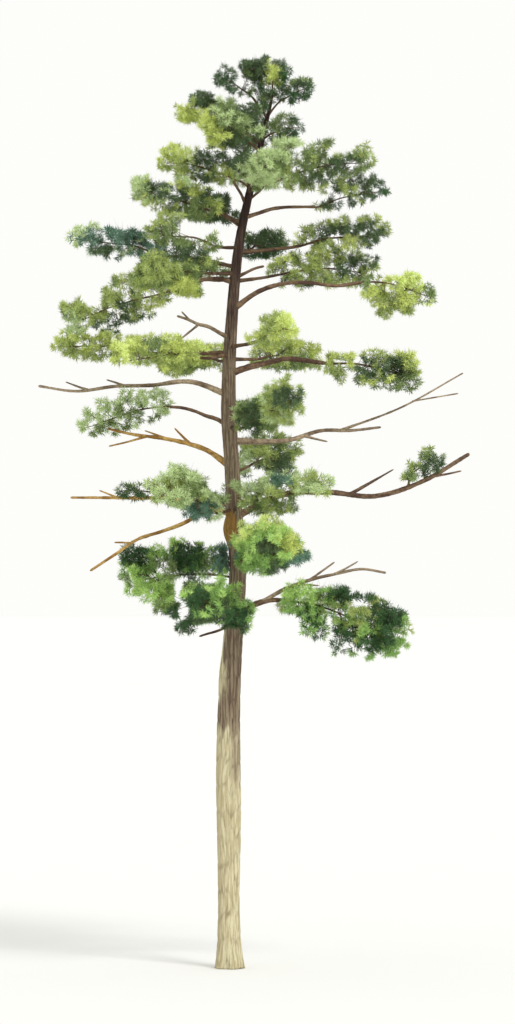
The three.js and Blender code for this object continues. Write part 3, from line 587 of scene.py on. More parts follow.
class Batch:
    """Vertices and faces gathered for one joined mesh."""

    def __init__(self) -> None:
        """Starts with nothing gathered."""
        self.vertices: list[Array] = []
        self.quads: list[Array] = []
        self.triangles: list[Array] = []
        self.furrows: list[Array] = []
        self.count = 0

    def add(
        self, vertices: Array, quads: Array, triangles: Array | None = None,
        furrows: Array | None = None,
    ) -> None:
        """Adds a set of vertices and the faces between them.

        Args:
            vertices: Places, one a row.
            quads: Faces of four vertices, numbered within this set.
            triangles: Faces of three vertices, numbered within this set.
            furrows: How deep in a furrow of bark each vertex lies, 0 to 1, for the bark's painted shade
                there.
        """
        self.quads.append(quads + self.count)
        if triangles is not None:
            self.triangles.append(triangles + self.count)
        self.vertices.append(vertices)
        self.furrows.append(np.zeros(len(vertices)) if furrows is None else furrows)
        self.count += len(vertices)

    def make(
        self, name: str, material: bpy.types.Material, slot: str, smooth: bool = True,
    ) -> bpy.types.Object:
        """Makes the mesh object, riding on the tree.

        Args:
            name: The piece's name.
            material: Its finish.
            slot: The record's material slot; not used.
            smooth: True for smooth shading.

        Returns:
            The new object.
        """
        vertices = np.concatenate(self.vertices)
        quads = np.concatenate(self.quads)
        triangles = np.concatenate(self.triangles) if self.triangles else np.zeros((0, 3), int)
        corners = np.concatenate([quads.ravel(), triangles.ravel()]).astype(np.int32)
        starts = np.concatenate([
            np.arange(len(quads)) * 4, len(quads) * 4 + np.arange(len(triangles)) * 3,
        ]).astype(np.int32)
        mesh = bpy.data.meshes.new(name)
        mesh.vertices.add(len(vertices))
        mesh.vertices.foreach_set("co", vertices.astype(np.float32).ravel())
        mesh.loops.add(len(corners))
        mesh.loops.foreach_set("vertex_index", corners)
        mesh.polygons.add(len(starts))
        mesh.polygons.foreach_set("loop_start", starts)
        furrows = mesh.attributes.new("furrow", "FLOAT", "POINT")
        furrows.data.foreach_set("value", np.concatenate(self.furrows).astype(np.float32))
        mesh.update(calc_edges=True)
        mesh.validate()
        mesh.polygons.foreach_set("use_smooth", np.full(len(mesh.polygons), smooth))
        mesh.materials.append(material)
        piece = bpy.data.objects.new(name, mesh)
        bpy.context.scene.collection.objects.link(piece)
        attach(piece, "root")
        LOG.info("%s: %d faces", name, len(mesh.polygons))
        return piece


def unit(vectors: Array) -> Array:
    """Vectors scaled to length 1, along the last axis."""
    return vectors / np.maximum(np.linalg.norm(vectors, axis=-1, keepdims=True), 1e-9)


def level_side(way: Array, least: float) -> Array:
    """A level direction across a way, or +X where the way is nearly upright.

    Args:
        way: The way.
        least: How far it must go sideways.

    Returns:
        The direction.
    """
    side = np.array([-way[1], way[0], 0.0])
    return np.array([1.0, 0, 0]) if np.linalg.norm(side) < least else unit(side)


def bearings(sides: int) -> Array:
    """The angles of the sides of a round thing."""
    return np.arange(sides) * 2 * math.pi / sides


def length_of(line: Array) -> float:
    """How long a line of points is."""
    return float(np.sum(np.linalg.norm(np.diff(line, axis=0), axis=1)))


def evened(points: Array, cell: float, most: int, rng: np.random.Generator) -> Array:
    """Which points stay when no cell of space holds more than a few.

    Args:
        points: The points.
        cell: The side of a cell.
        most: How many of them a cell keeps.
        rng: The seeded numbers.

    Returns:
        True for each point that stays.
    """
    cells = np.floor(points / cell).astype(int) @ np.array([1, 1000, 1000000])
    order = rng.permutation(len(cells))
    order = order[np.argsort(cells[order], kind="stable")]
    place = np.arange(len(cells)) - np.searchsorted(cells[order], cells[order])
    stays = np.zeros(len(cells), bool)
    stays[order[place < most]] = True
    return stays


def in_gap(points: Array) -> Array:
    """True for each point in one of the gaps where sky shows."""
    return np.any([gap.depth(points) <= 1 for gap in SKY_GAPS], axis=0)


def crosses_gap(starts: Array, ends: Array) -> Array:
    """True for each straight line that crosses one of the gaps where sky shows.

    Args:
        starts: The lines' starts.
        ends: The lines' ends.

    Returns:
        One truth value a line.
    """
    places = starts[:, None] + (ends - starts)[:, None] * np.linspace(0, 1, SKY_STEPS)[:, None]
    return in_gap(places.reshape(-1, 3)).reshape(places.shape[:2]).any(axis=1)


def smooth_line(points: Array, count: int) -> Array:
    """A smooth line through a few points.

    Args:
        points: The points that it passes through.
        count: How many points it gets.

    Returns:
        Points at even shares of the line.
    """
    padded = np.vstack([2 * points[0] - points[1], points, 2 * points[-1] - points[-2]])
    place = np.linspace(0, len(points) - 1, count)
    i = np.minimum(place.astype(int), len(points) - 2)
    t = (place - i)[:, None]
    a, b, c, d = (padded[i + k] for k in range(4))
    bend, turn = 2 * a - 5 * b + 4 * c - d, 3 * b - a - 3 * c + d
    return 0.5 * (2 * b + (c - a) * t + bend * t ** 2 + turn * t ** 3)


def part_way(points: Array, share: float) -> tuple[Array, Array]:
    """Point and direction at a share of the length of a list of points.

    Args:
        points: The list.
        share: From 0 to 1.

    Returns:
        The point, and the direction there.
    """
    place = min(share * (len(points) - 1), len(points) - 1.001)
    i = math.floor(place)
    along = points[i + 1] - points[i]
    return points[i] + along * (place - i), unit(along)


def places_on(line: Array, share: Array) -> tuple[Array, Array, Array]:
    """Places at shares of a line of points.

    Args:
        line: The points.
        share: From 0 to 1, many.

    Returns:
        The places, the directions there, and the number of the run that each is on.
    """
    at = share * (len(line) - 1)
    run = np.minimum(at.astype(int), len(line) - 2)
    step = line[run + 1] - line[run]
    return line[run] + step * (at - run)[:, None], unit(step), run


def frames_along(lines: Array) -> tuple[Array, Array]:
    """Two directions across each line at each of its points, which don't twist.

    Args:
        lines: Points of many lines, as lines by points by 3.

    Returns:
        Both sets of directions, in the same layout.
    """
    tangents = np.empty_like(lines)
    tangents[:, 1:-1] = lines[:, 2:] - lines[:, :-2]
    tangents[:, 0] = lines[:, 1] - lines[:, 0]
    tangents[:, -1] = lines[:, -1] - lines[:, -2]
    tangents = unit(tangents)
    lean = np.where(np.abs(tangents[:, :1, 2:]) < 0.8, [[[0.0, 0, 1]]], [[[1.0, 0, 0]]])[:, 0]
    across = np.empty_like(lines)
    for k in range(lines.shape[1]):
        t = tangents[:, k]
        lean = unit(lean - np.sum(lean * t, axis=1, keepdims=True) * t)
        across[:, k] = lean
    return across, np.cross(tangents, across)


def barrel(rings: int, sides: int) -> tuple[Array, Array, Array]:
    """The faces of one tube.

    Args:
        rings: How many rings of vertices it has.
        sides: How many vertices a ring has.

    Returns:
        Its four-sided faces, and the three-sided faces that close its root and its tip.
    """
    ring, side = np.meshgrid(np.arange(rings - 1), np.arange(sides), indexing="ij")
    near, far = ring * sides + side, ring * sides + (side + 1) % sides
    quads = np.stack([near, far, far + sides, near + sides], axis=-1).reshape(-1, 4)
    fan = np.arange(1, sides - 1)
    root = np.stack([fan * 0, fan + 1, fan], axis=-1)
    return quads, root, root[:, [0, 2, 1]] + (rings - 1) * sides


def tubes(lines: Array, radii: Array, sides: int, pinch: bool = False) -> tuple[Array, Array, Array]:
    """Closed tapering tubes along many lines at once.

    Args:
        lines: Points of the lines, as lines by points by 3.
        radii: Radius at each point, or at each point and side.
        sides: How many sides each tube has.
        pinch: True if each tube's tip is drawn to a point.

    Returns:
        Vertices, four-sided faces and three-sided faces.
    """
    count, rings = lines.shape[:2]
    first, second = frames_along(lines)
    turn = bearings(sides)
    round_it = first[:, :, None] * np.cos(turn)[:, None] + second[:, :, None] * np.sin(turn)[:, None]
    spread = radii[..., None, None] if radii.ndim == 2 else radii[..., None]
    vertices = (lines[:, :, None] + round_it * spread).reshape(-1, 3)
    quads, root, tip = barrel(rings, sides)
    base = (np.arange(count) * rings * sides)[:, None, None]
    if pinch:
        points = lines[:, -1] + TIP_POINT * (lines[:, -1] - lines[:, -2])
        step = np.arange(sides)
        tip = np.stack([step, (step + 1) % sides, step * 0], axis=-1) + (rings - 1) * sides
        tips = tip[None] + base
        tips[:, :, 2] = (len(vertices) + np.arange(count))[:, None]
        vertices = np.vstack([vertices, points])
    else:
        tips = tip[None] + base
    caps = np.concatenate([(root[None] + base).reshape(-1, 3), tips.reshape(-1, 3)])
    return vertices, (quads[None] + base).reshape(-1, 4), caps


class Nodes:
    """A short way to lay out a material's nodes."""

    def __init__(self, name: str) -> None:
        """Makes an empty material.

        Args:
            name: The material's name.
        """
        self.material = bpy.data.materials.new(name)
        self.material.use_nodes = True
        self.tree = self.material.node_tree
        self.tree.nodes.clear()
        self.shader = self.add("ShaderNodeBsdfPrincipled")
        self.feed(self.shader.outputs[0], self.add("ShaderNodeOutputMaterial").inputs[0])

    def add(self, kind: str, **settings: object) -> bpy.types.Node:
        """Adds a node.

        Args:
            kind: Blender's name for it.
            settings: Its own settings, and its input sockets by name with spaces as underscores.

        Returns:
            The node.
        """
        node = self.tree.nodes.new(kind)
        for key, value in settings.items():
            if hasattr(node, key):
                setattr(node, key, value)
            else:
                node.inputs[key.replace("_", " ")].default_value = value
        return node

    def feed(self, value: object, socket: Socket) -> None:
        """Gives an input its value.

        Args:
            value: An output to join it to, a colour or a number.
            socket: The input.
        """
        if isinstance(value, Socket):
            self.tree.links.new(value, socket)
        else:
            socket.default_value = (*value, 1.0) if isinstance(value, tuple) else value

    def place(self) -> Socket:
        """The place on the object, in metres."""
        return self.add("ShaderNodeTexCoord").outputs["Object"]

    def noise(self, place: Socket, scale: Triple, detail: float = 4.0) -> Socket:
        """Noise stretched along the axes.

        Args:
            place: Where it is read.
            scale: Lumps a metre along each axis.
            detail: How fine its smallest lumps are.

        Returns:
            Values about 0.5.
        """
        mapping = self.add("ShaderNodeMapping", Scale=scale)
        self.feed(place, mapping.inputs["Vector"])
        texture = self.add("ShaderNodeTexNoise", Scale=1.0, Detail=detail, Roughness=0.6)
        self.feed(mapping.outputs[0], texture.inputs["Vector"])
        return texture.outputs[0]

    def stretch(self, value: Socket, low: float, high: float, out: tuple[float, float] = (0, 1)) -> Socket:
        """Spreads a range of values over another one, and holds it at the ends.

        Args:
            value: What is spread.
            low: The value that becomes the first of out.
            high: The value that becomes the second of out.
            out: The new range.

        Returns:
            The spread value.
        """
        node = self.add("ShaderNodeMapRange", interpolation_type="SMOOTHSTEP")
        for i, number in enumerate((value, low, high, *out)):
            self.feed(number, node.inputs[i])
        return node.outputs[0]

    def maths(self, how: str, a: Socket, b: Socket) -> Socket:
        """Works out one value from two.

        Args:
            how: Blender's name for the operation.
            a: The first value.
            b: The second value.

        Returns:
            The outcome.
        """
        node = self.add("ShaderNodeMath", operation=how)
        self.feed(a, node.inputs[0])
        self.feed(b, node.inputs[1])
        return node.outputs[0]

    def blend(self, share: Socket | float, a: object, b: object, how: str = "MIX") -> Socket:
        """Mixes two colours.

        Args:
            share: How much of the second.
            a: First colour, a socket or red, green and blue.
            b: Second colour.
            how: Blender's name for the kind of mixing.

        Returns:
            The mixed colour.
        """
        node = self.add("ShaderNodeMix", data_type="RGBA", blend_type=how)
        for value, socket in ((share, 0), (a, 6), (b, 7)):
            self.feed(value, node.inputs[socket])
        return node.outputs[2]

    def furrows(self, low: float, out: tuple[float, float]) -> Socket:
        """How deep in a furrow of bark the surface lies, which the bark darkens as painted shade.

        Args:
            low: The depth that becomes the first of out.
            out: The range that it is spread over.

        Returns:
            The spread depth.
        """
        furrow = self.add("ShaderNodeAttribute", attribute_name="furrow")
        return self.stretch(furrow.outputs["Fac"], low, 1.0, out)

    def bump(self, height: Socket, distance: float) -> None:
        """Raises the surface by a height.

        Args:
            height: Values from 0 to 1.
            distance: What 1 stands for, in metres.
        """
        node = self.add("ShaderNodeBump", Distance=distance, Strength=0.6)
        self.feed(height, node.inputs["Height"])
        self.feed(node.outputs[0], self.shader.inputs["Normal"])

    def finish(self, colour: object, roughness: float, sheen: float = 0.25) -> bpy.types.Material:
        """Gives the shader its colour, roughness and sheen.

        Args:
            colour: The surface's colour, an output or red, green and blue.
            roughness: The same all over.
            sheen: How strongly it mirrors light.

        Returns:
            The material.
        """
        self.feed(colour, self.shader.inputs["Base Color"])
        self.feed(roughness, self.shader.inputs["Roughness"])
        self.feed(sheen, self.shader.inputs["Specular IOR Level"])
        return self.material


def linear(colour: Colour, gain: float = 1.0) -> Triple:
    """A colour of 0 to 255 as the light it gives back.

    Args:
        colour: Red, green and blue as on paper.
        gain: How much lighter it is made, for what shade takes from it.

    Returns:
        Red, green and blue from 0 to 1.
    """
    shares = (c / 255 for c in colour)
    light = (s / 12.92 if s <= 0.04045 else ((s + 0.055) / 1.055) ** 2.4 for s in shares)
    return tuple(min(0.95, v * gain) for v in light)


@dataclass(frozen=True)
class TrunkBark:
    """Bark of the trunk: pale buff below, grey-brown above, near black at the top, and the ochre burl, with
    painted shade on its left edge, on its right side and in its furrows.
    """

    buff: Colour = (206, 198, 164)
    tan: Colour = (178, 166, 130)
    grey: Colour = (150, 136, 112)
    brown: Colour = (102, 84, 70)
    black: Colour = (52, 38, 36)
    burl: Colour = (156, 120, 64)
    burl_at: Triple = (0.0, -0.16, 10.63)
    burl_squeeze: float = 0.42

    def material(self) -> bpy.types.Material:
        """Lays out the bark's nodes.

        Returns:
            The material.
        """
        nodes = Nodes("trunk_bark")
        place = nodes.place()
        axes = nodes.add("ShaderNodeSeparateXYZ")
        nodes.feed(place, axes.inputs[0])
        across, up = axes.outputs[0], axes.outputs[2]
        streaks = nodes.noise(place, (22, 22, 1.6))
        patches = nodes.noise(place, (5, 5, 0.9), 3.0)
        height = nodes.maths("ADD", up, nodes.stretch(patches, 0.3, 0.7, (-0.9, 0.9)))
        low = nodes.maths("ADD", up, nodes.stretch(patches, 0.3, 0.7, (-0.25, 0.25)))
        tan, brown, black = linear(self.tan), linear(self.brown), linear(self.black)
        pale = nodes.blend(nodes.stretch(streaks, 0.4, 0.62), tan, linear(self.buff))
        grey = nodes.blend(nodes.stretch(streaks, 0.38, 0.66), brown, linear(self.grey))
        dark = nodes.blend(nodes.stretch(streaks, 0.35, 0.7), black, brown)
        # Painted shade: the left edge of the trunk is blended towards the darker tan, and the right side
        # turns to the grey bark lower down than the rest; the grey bark higher up is the bark's own colour.
        colour = nodes.blend(nodes.stretch(across, -0.24, -0.12, (0.45, 0)), pale, tan)
        painted_shade_right, right = nodes.stretch(across, 0, 0.09), nodes.stretch(across, -0.14, -0.02)
        greyed = (
            nodes.maths("MULTIPLY", painted_shade_right, nodes.stretch(low, 4.3, 4.8, (0, 0.6))),
            nodes.maths("MULTIPLY", nodes.stretch(low, 5.6, 6), nodes.stretch(low, 6.9, 6.5)),
            nodes.maths("MULTIPLY", right, nodes.stretch(low, 6.1, 6.5)),
            nodes.stretch(height, 7.6, 8.3),
        )
        for share in greyed:
            colour = nodes.blend(share, colour, grey)
        colour = nodes.blend(nodes.stretch(height, 13, 17), colour, dark)
        colour = nodes.blend(nodes.stretch(height, 16.5, 19.5), colour, black)
        away = nodes.add("ShaderNodeVectorMath", operation="DISTANCE")
        squeeze = nodes.add("ShaderNodeMapping", Scale=(1, 1, self.burl_squeeze))
        nodes.feed(place, squeeze.inputs["Vector"])
        nodes.feed(squeeze.outputs[0], away.inputs[0])
        away.inputs[1].default_value = (*self.burl_at[:2], self.burl_at[2] * self.burl_squeeze)
        ochre = nodes.blend(nodes.stretch(streaks, 0.45, 0.75, (0, 0.5)), linear(self.burl), brown)
        colour = nodes.blend(nodes.stretch(away.outputs["Value"], 0.23, 0.17), colour, ochre)
        # Painted shade: the colour is darkened in the bark's furrows and cracks, broken up by noise.
        broken = nodes.stretch(nodes.noise(place, (9, 9, 3), 3.0), 0.35, 0.65, (0.15, 1))
        shade = nodes.maths("MULTIPLY", nodes.furrows(0.1, (0, 0.42)), broken)
        colour = nodes.blend(shade, colour, linear((110, 92, 70)), "MULTIPLY")
        nodes.bump(nodes.noise(place, (90, 90, 30), 6.0), 0.004)
        return nodes.finish(colour, 0.92)


@dataclass(frozen=True)
class LimbBark:
    """Bark or bare wood of a limb, streaked along it, with painted shade in its furrows."""

    name: str
    dark: Colour
    light: Colour
    lump: float = 9.0
    gain: float = 1.1

    def material(self) -> bpy.types.Material:
        """Lays out the limb's nodes.

        Returns:
            The material.
        """
        nodes = Nodes(self.name)
        place = nodes.place()
        broad = nodes.noise(place, (self.lump * 0.25, self.lump * 0.25, self.lump * 0.4), 2.0)
        fine = nodes.noise(place, (self.lump * 1.5, self.lump * 5, self.lump * 8))
        dark, light = linear(self.dark, self.gain), linear(self.light, self.gain)
        colour = nodes.blend(nodes.stretch(broad, 0.36, 0.64), dark, light)
        colour = nodes.blend(nodes.stretch(fine, 0.35, 0.7, (0.35, 0)), colour, dark)
        # Painted shade: the colour is darkened in the bark's furrows.
        colour = nodes.blend(nodes.furrows(0.2, (0, 0.5)), colour, linear((90, 70, 56)), "MULTIPLY")
        nodes.bump(fine, 0.003)
        return nodes.finish(colour, 0.88)


@dataclass(frozen=True)
class NeedleFinish:
    """One plain colour of needles, with their soft waxy sheen."""

    wash: Wash
    gain: float = 2.0

    def material(self) -> bpy.types.Material:
        """Lays out the needles' nodes."""
        nodes = Nodes(f"needles_{self.wash.name.lower()}")
        return nodes.finish(linear(self.wash.value, self.gain), 0.6, 0.2)


@dataclass
class Trunk:
    """The trunk: its line, its girth and the relief of its bark."""

    stations: tuple[Station, ...] = STATIONS
    swellings: tuple[Swelling, ...] = SWELLINGS
    tip: float = 21.0
    flare: float = 0.105
    flare_height: float = 0.42
    buttresses: int = 5
    fluting: float = 0.035
    sides: int = 120
    rings: int = 380
    plates_round: int = 15
    plate_height: float = 0.7
    plate_depth: float = 0.016
    crack_depth: float = 0.22
    lump_depth: float = 0.3

    def value(self, key: str, up: Array) -> Array:
        """A smooth value between the stations.

        Args:
            key: Which of a station's values.
            up: Heights.

        Returns:
            The value at each height.
        """
        heights = np.array([s.up for s in self.stations])
        values = np.array([getattr(s, key) for s in self.stations])
        last = len(heights) - 2
        i = np.clip(np.searchsorted(heights, up, side="right") - 1, 0, last)
        run = heights[i + 1] - heights[i]
        before, after = np.maximum(i - 1, 0), np.minimum(i + 2, last + 1)
        t = np.clip((up - heights[i]) / run, 0, 1)
        slope_a = (values[i + 1] - values[before]) / (heights[i + 1] - heights[before]) * run
        slope_b = (values[after] - values[i]) / (heights[after] - heights[i]) * run
        rise = values[i] * (2 * t ** 3 - 3 * t ** 2 + 1) + values[i + 1] * (3 * t ** 2 - 2 * t ** 3)
        return rise + slope_a * (t ** 3 - 2 * t ** 2 + t) + slope_b * (t ** 3 - t ** 2)

    def middle(self, up: float | Array) -> Array:
        """The middle of the trunk at one height or several."""
        up = np.asarray(up, float)
        return np.stack([self.value("across", up), self.value("deep", up), up], axis=-1)

    def radius(self, up: Array, angle: Array) -> Array:
        """The trunk's radius with its buttresses, fluting and swellings.

        Args:
            up: Heights.
            angle: Bearings in radians.

        Returns:
            Radii.
        """
        lobe = 0.55 + 0.45 * np.cos(self.buttresses * angle)
        flutes = np.sin(3 * angle + up / 1.3) + 0.6 * np.sin(5 * angle - up / 0.7)
        radius = self.value("radius", up) * (1 + self.fluting * flutes)
        radius = radius + self.flare * lobe * np.exp(-up / self.flare_height)
        for s in self.swellings:
            turn = (angle - math.radians(s.bearing) + math.pi) % (2 * math.pi) - math.pi
            spread = math.radians(s.spread)
            radius = radius + s.out * np.exp(-(((up - s.up) / s.tall) ** 2) - (turn / spread) ** 2)
        return radius

    def clears(self, points: Array, room: float) -> Array:
        """Which points lie outside the trunk.

        Args:
            points: The points.
            room: By how much at least, less than 0 for places inside it.

        Returns:
            One truth value a point.
        """
        up = np.clip(points[:, 2], 0, self.tip)
        middle = self.middle(up)
        away = np.hypot(points[:, 0] - middle[:, 0], points[:, 1] - middle[:, 1])
        wood = np.where(points[:, 2] < self.tip + room, self.value("radius", up), 0)
        return away > wood + room

    def build(self) -> None:
        """Makes the trunk with plates of bark that stand out between furrows."""
        share = np.linspace(0, 1, self.rings)
        up = self.tip * (0.8 * share + 0.2 * share ** 2)
        high, angle = np.meshgrid(up, bearings(self.sides), indexing="ij")
        shrink = np.clip(1 - high / 26, 0.25, 1)
        rows = np.cumsum(np.gradient(up) / (self.plate_height * np.clip(1 - up / 24, 0.3, 1)))
        along = np.broadcast_to(rows[:, None], high.shape)
        sway = 0.35 * np.sin(high * 2.1) + 0.2 * np.sin(high * 5.3 + 2 * angle)
        count = self.plates_round
        around = (angle / (2 * math.pi) * count + sway) % count
        inside = Noise.plates(around, along, count, 3)
        finer = Noise.plates((around * 3) % (3 * count), along * 2.6, 3 * count, 5)
        furrow = 1 - np.clip(inside / 0.34, 0, 1) ** 0.8
        crack = 1 - np.clip(finer / 0.3, 0, 1)
        flat = np.stack([np.cos(angle) * 3, np.sin(angle) * 3, high * 1.3], axis=-1).reshape(-1, 3)
        lumps = Noise.smooth(flat, 0.5, 11).reshape(high.shape)
        depth = self.plate_depth * shrink
        relief = depth * (0.35 - furrow - self.crack_depth * crack + self.lump_depth * lumps)
        radius = self.radius(high, angle) + relief
        middle = self.middle(up)
        across, deep = middle[:, :1] + radius * np.cos(angle), middle[:, 1:2] + radius * np.sin(angle)
        vertices = np.stack([across, deep, high], axis=-1).reshape(-1, 3)
        quads, under, top = barrel(self.rings, self.sides)
        batch = Batch()
        # How deep each vertex lies in a furrow or crack, kept on the mesh for the bark's painted shade
        # there.
        shade = np.clip(furrow + 0.3 * crack, 0, 1)
        batch.add(vertices, quads, np.concatenate([under, top]), shade.ravel())
        piece = batch.make("trunk_bark", TrunkBark().material(), "trunk_bark")
        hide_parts("trunk")


@dataclass
class Limb:
    """One tapering limb: its line, its girth, its forks, and whether its tip carries a mass."""

    points: Array
    radius: float
    tip_radius: float
    forks: list["Limb"] = field(default_factory=list)
    carries: bool = False

    def girth(self, share: Array) -> Array:
        """The radius at shares of the length, wider in the collar at the root."""
        taper = self.radius + (self.tip_radius - self.radius) * share ** 0.8
        return taper * (1 + COLLAR * np.exp(-share / COLLAR_SHARE))

    @staticmethod
    def path(root: Array, tip: Array, arch: float, sway: float, steps: int, draws: Draws) -> Array:
        """The points of a limb: it arches and sways, and wanders a little from side to side.

        Args:
            root: Where it starts.
            tip: Where it ends.
            arch: How far it rises at its middle.
            sway: How far it rises and then falls.
            steps: How many runs it has.
            draws: The seeded numbers.

        Returns:
            The points.
        """
        run = tip - root
        side = level_side(run, 0.001) * WANDER * np.linalg.norm(run)
        phases = [draws.next() for _ in range(4)]
        t = np.arange(steps + 1) / steps
        fade = np.sin(math.pi * t)

        def wave(a: float, b: float) -> Array:
            """Two waves with their own starts, faded at both ends."""
            turn = 2 * math.pi
            return fade * (0.6 * np.sin(turn * (1.3 * t + a)) + 0.4 * np.sin(turn * (2.7 * t + b)))

        points = root + np.outer(t, run) + np.outer(wave(phases[0], phases[1]), side)
        points[:, 2] += arch * 4 * t * (1 - t) + sway * np.sin(2 * math.pi * t)
        points[:, 2] += np.linalg.norm(side) * 0.8 * wave(phases[2], phases[3])
        return points

    def grow_forks(self, rows: tuple[Fork, ...], draws: Draws) -> None:
        """Adds the limb's forks, and theirs.

        Args:
            rows: The forks that leave it.
            draws: The seeded numbers.
        """
        for row in rows:
            at, along = part_way(self.points, row.at)
            tip = at + np.array(row.by)
            points = Limb.path(at - FORK_SUNK * along, tip, row.arch, 0, FORK_STEPS, draws)
            girth = FORK_SHARE * float(self.girth(np.array(row.at)))
            fork = Limb(points, girth, FORK_TIP_RADIUS)
            self.forks.append(fork)
            fork.grow_forks(row.forks, draws)

    def mesh(self, batch: Batch, skip: float, sides: int, relief: float, seed: int) -> None:
        """Adds the limb and its forks to a batch, with the relief of its bark.

        Args:
            batch: Where the mesh is gathered.
            skip: Share of the length that is hidden in what it leaves.
            sides: How many sides it has.
            relief: How far the bark stands out, as a share of the radius.
            seed: Which bark.
        """
        length = length_of(self.points)
        rings = max(FEWEST_RINGS, int(length * (1 - skip) / RING_STEP))
        line, even = smooth_line(self.points, LINE_POINTS), np.linspace(0, 1, LINE_POINTS)
        share = np.linspace(skip, 1, rings)
        line = np.stack([np.interp(share, even, line[:, k]) for k in range(3)], axis=-1)
        place, angle = np.meshgrid(share * length, bearings(sides), indexing="ij")
        twist = (angle / (2 * math.pi) * PLATES_ROUND + 0.4 * np.sin(place * 3)) % PLATES_ROUND
        inside = Noise.plates(twist, place / PLATE_LENGTH, PLATES_ROUND, seed)
        furrow = 1 - np.clip(inside / PLATE_EDGE, 0, 1)
        spots = np.stack([place * 3, place * 0 + seed, place * 0], -1).reshape(-1, 3)
        knots = Noise.smooth(spots, KNOT_SIZE, seed).reshape(place.shape)
        girth = self.girth(share)[:, None] * (1 + KNOT_DEPTH * knots)
        end = np.clip((1 - share) * length / TIP_ROUND + self.carries, 0, 1)[:, None] ** 0.5
        girth = girth * (1 + relief * (0.4 - furrow)) * (TIP_LEFT + (1 - TIP_LEFT) * end)
        vertices, quads, caps = tubes(line[None], girth[None], sides)
        # The furrow depth is kept on the mesh for the bark's painted shade in its furrows.
        batch.add(vertices, quads, caps, furrow.ravel())
        for i, fork in enumerate(self.forks):
            fork.mesh(batch, 0, max(7, sides // 2), relief, seed + i + 1)


@dataclass(frozen=True)
class Space:
    """The space that a mass fills: its middle, its directions as rows, its half sizes and its lobes."""

    middle: Array
    axes: Array
    sizes: Array
    lobes: tuple[Oval, ...]

    @staticmethod
    def between(near: Array, far: Array, row: MassRow) -> "Space":
        """The space of a mass from its near end to its far end.

        Args:
            near: Where it starts.
            far: Where it ends.
            row: The mass.

        Returns:
            The space.
        """
        along = unit(far - near)
        side = level_side(along, 0.2)
        up = np.cross(along, side)
        middle = (near + far) / 2 + up * row.lift * row.high
        sizes = np.array([np.linalg.norm(far - near) / 2, row.wide, row.high])
        lobes = tuple(Oval(*numbers) for numbers in LOBES.get(row.name, ()))
        return Space(middle, np.stack([along, side, up]), sizes, lobes)

    def depth(self, points: Array) -> Array:
        """How far out in the space each point lies.

        Args:
            points: The points.

        Returns:
            0 at the middle of the space, and 1 on its surface.
        """
        parts = (points - self.middle) @ self.axes.T
        deep = np.sum(np.abs(parts / self.sizes) ** FULLNESS, axis=-1)
        for lobe in self.lobes:
            back = (points[:, 1] - self.middle[1]) / LOBE_ROOM
            deep = np.minimum(deep, lobe.depth(points) ** 2 + back ** 2)
        return deep


@dataclass
class Tufts:
    """Tufts of needles: where they are, which way they point, their size, colour and twig or shoot."""

    at: Array
    along: Array
    scale: Array
    wash: Array
    owner: Array

    def only(self, kept: Array) -> "Tufts":
        """The tufts that are kept."""
        return Tufts(*(getattr(self, part.name)[kept] for part in fields(self)))

    @staticmethod
    def joined(groups: list["Tufts"]) -> "Tufts":
        """Many groups of tufts as one."""
        names = [part.name for part in fields(Tufts)]
        return Tufts(*(np.concatenate([getattr(one, name) for one in groups]) for name in names))


